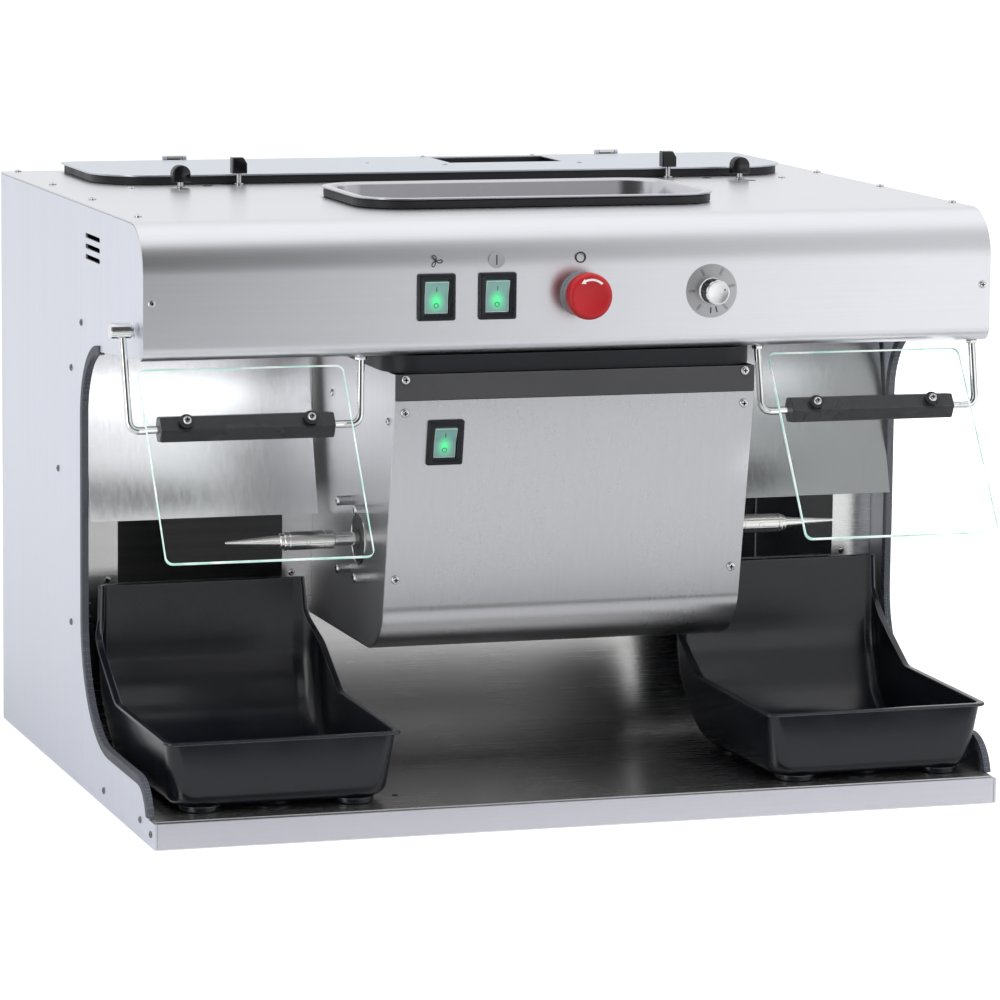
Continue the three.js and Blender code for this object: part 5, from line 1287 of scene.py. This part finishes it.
# Flat studio pieces are given by one corner and the two edges that leave it, in metres
def stage_sheet(name, corner, along, up, material):
    corner, along, up = Vector(corner), Vector(along), Vector(up)
    mesh = bpy.data.meshes.new(name)
    mesh.from_pydata([corner, corner + along, corner + along + up, corner + up], [], [(0, 1, 2, 3)])
    mesh.materials.append(material)
    item = bpy.data.objects.new(name, mesh)
    bpy.context.scene.collection.objects.link(item)
    return item


# The floor is pale paper that keeps shadows; mirrors see it brighten away from the machine, a painted shade
# round the machine that only mirrors see
def lay_floor():
    material, tree, surface = blank_material("pale floor")
    path = add_node(tree, "ShaderNodeLightPath").outputs
    axes = split_axes(tree, place_on_piece(tree))
    direct = calc(tree, "MAXIMUM", path["Is Camera Ray"], path["Is Transmission Ray"])
    seen = calc(tree, "MULTIPLY", direct, 0.68)
    distant = ramp(tree, distance_from_middle(tree, axes["X"], axes["Y"]), 0.08, 0.5, 0.5, 2.4)
    mirrored = calc(tree, "MULTIPLY", path["Is Glossy Ray"], distant)
    paper = add_node(tree, "ShaderNodeBsdfDiffuse", {"Color": (0.8, 0.8, 0.8, 1)})
    white = add_node(tree, "ShaderNodeEmission", {
        "Color": (1, 1, 1, 1), "Strength": calc(tree, "ADD", seen, mirrored)})
    both = add_node(tree, "ShaderNodeAddShader", {0: paper.outputs[0], 1: white.outputs[0]})
    set_inputs(tree, surface, {"Surface": both.outputs[0]})
    stage_sheet("floor", (-14, -14, 0), (28, 0, 0), (0, 28, 0), material)


# Cards that only the metal mirrors: corner, two edges, strength at the left and right of a span in x
PLAIN_SPAN = (0.15, 1.15)
CARDS = (
    ("dark upper card", (-4, -2.6, 0.8), (8, 0, 0), (0, 1.2, 2.0), (0.08, 0.8), PLAIN_SPAN),
    ("front card", (-3, -2.6, 0.01), (6.5, 0, 0), (0, 0, 0.79), (0.12, 1.3), PLAIN_SPAN),
    ("front floor card", (-1, -1.5, 0.004), (3, 0, 0), (0, 0.55, 0), (0.35, 1.0), (0.1, 0.8)),
    # The low front card lies on the floor before the base as a painted shade that only the metal mirrors
    ("low front floor shade card", (-1, -0.5, 0.002), (2.2, 0, 0), (0, 0.09, 0), (0.08, 0.08), PLAIN_SPAN),
    ("left strip", (-0.9, -0.8, 0), (0, 0.35, 0), (0, 0, 1.0), (3, 3), PLAIN_SPAN),
    ("overhead card", (-3, -1.0, 3.0), (6, 0, 0), (0, 2.8, -0.4), (1.25, 1.25), PLAIN_SPAN),
    ("left card", (-3.2, -2.2, 0.3), (0, 2.8, 0), (0, 0, 1.7), (0.45, 0.45), PLAIN_SPAN),
    ("right card", (3.6, -1.0, 0.3), (0, 2.6, 0), (0, 0, 1.7), (0.45, 0.45), PLAIN_SPAN),
)


def studio_card(name, corner, along, up, strength, span):
    material, tree, surface = blank_material(name)
    axes = split_axes(tree, place_on_piece(tree))
    tone = add_node(tree, "ShaderNodeEmission", {
        "Color": (1, 1, 1, 1), "Strength": ramp(tree, axes["X"], *strength, *span)})
    set_inputs(tree, surface, {"Surface": tone.outputs[0]})
    card = stage_sheet(name, corner, along, up, material)
    card.visible_camera = False
    card.visible_diffuse = False
    card.visible_transmission = False
    card.visible_shadow = False


def soft_box(name, place, aim, width, height, power):
    data = bpy.data.lights.new(name, "AREA")
    data.shape = "RECTANGLE"
    data.size = width
    data.size_y = height
    data.energy = power
    lamp = bpy.data.objects.new(name, data)
    lamp.location = place
    lamp.visible_glossy = False
    lamp.visible_transmission = False
    lamp.rotation_euler = (Vector(aim) - Vector(place)).to_track_quat("-Z", "Y").to_euler()
    bpy.context.scene.collection.objects.link(lamp)
    return lamp


# A short lamp under the hood in each bay, out of the camera's sight, seen in the deflectors
def work_light(name, side):
    place, aim = (TO_FRAME @ Vector((side * 258, y, z)) for y, z in ((-200, 374), (0, 318)))
    lamp = soft_box(f"{name} work light", place, aim, 0.19, 0.016, 0.018)
    lamp.visible_glossy = True
    lamp.visible_camera = False


place_camera()
light_world()
lay_floor()
for card in CARDS:
    studio_card(*card)
soft_box("high soft box", (-0.4, -1.2, 3.0), (0, 0, 0.2), 2.6, 2.0, 60)
soft_box("right soft box", (2.6, -2.4, 1.6), (0, 0, 0.3), 1.4, 1.8, 30)
for name, side in SIDES:
    work_light(name, side)

bpy.context.scene.view_settings.view_transform = "Standard"
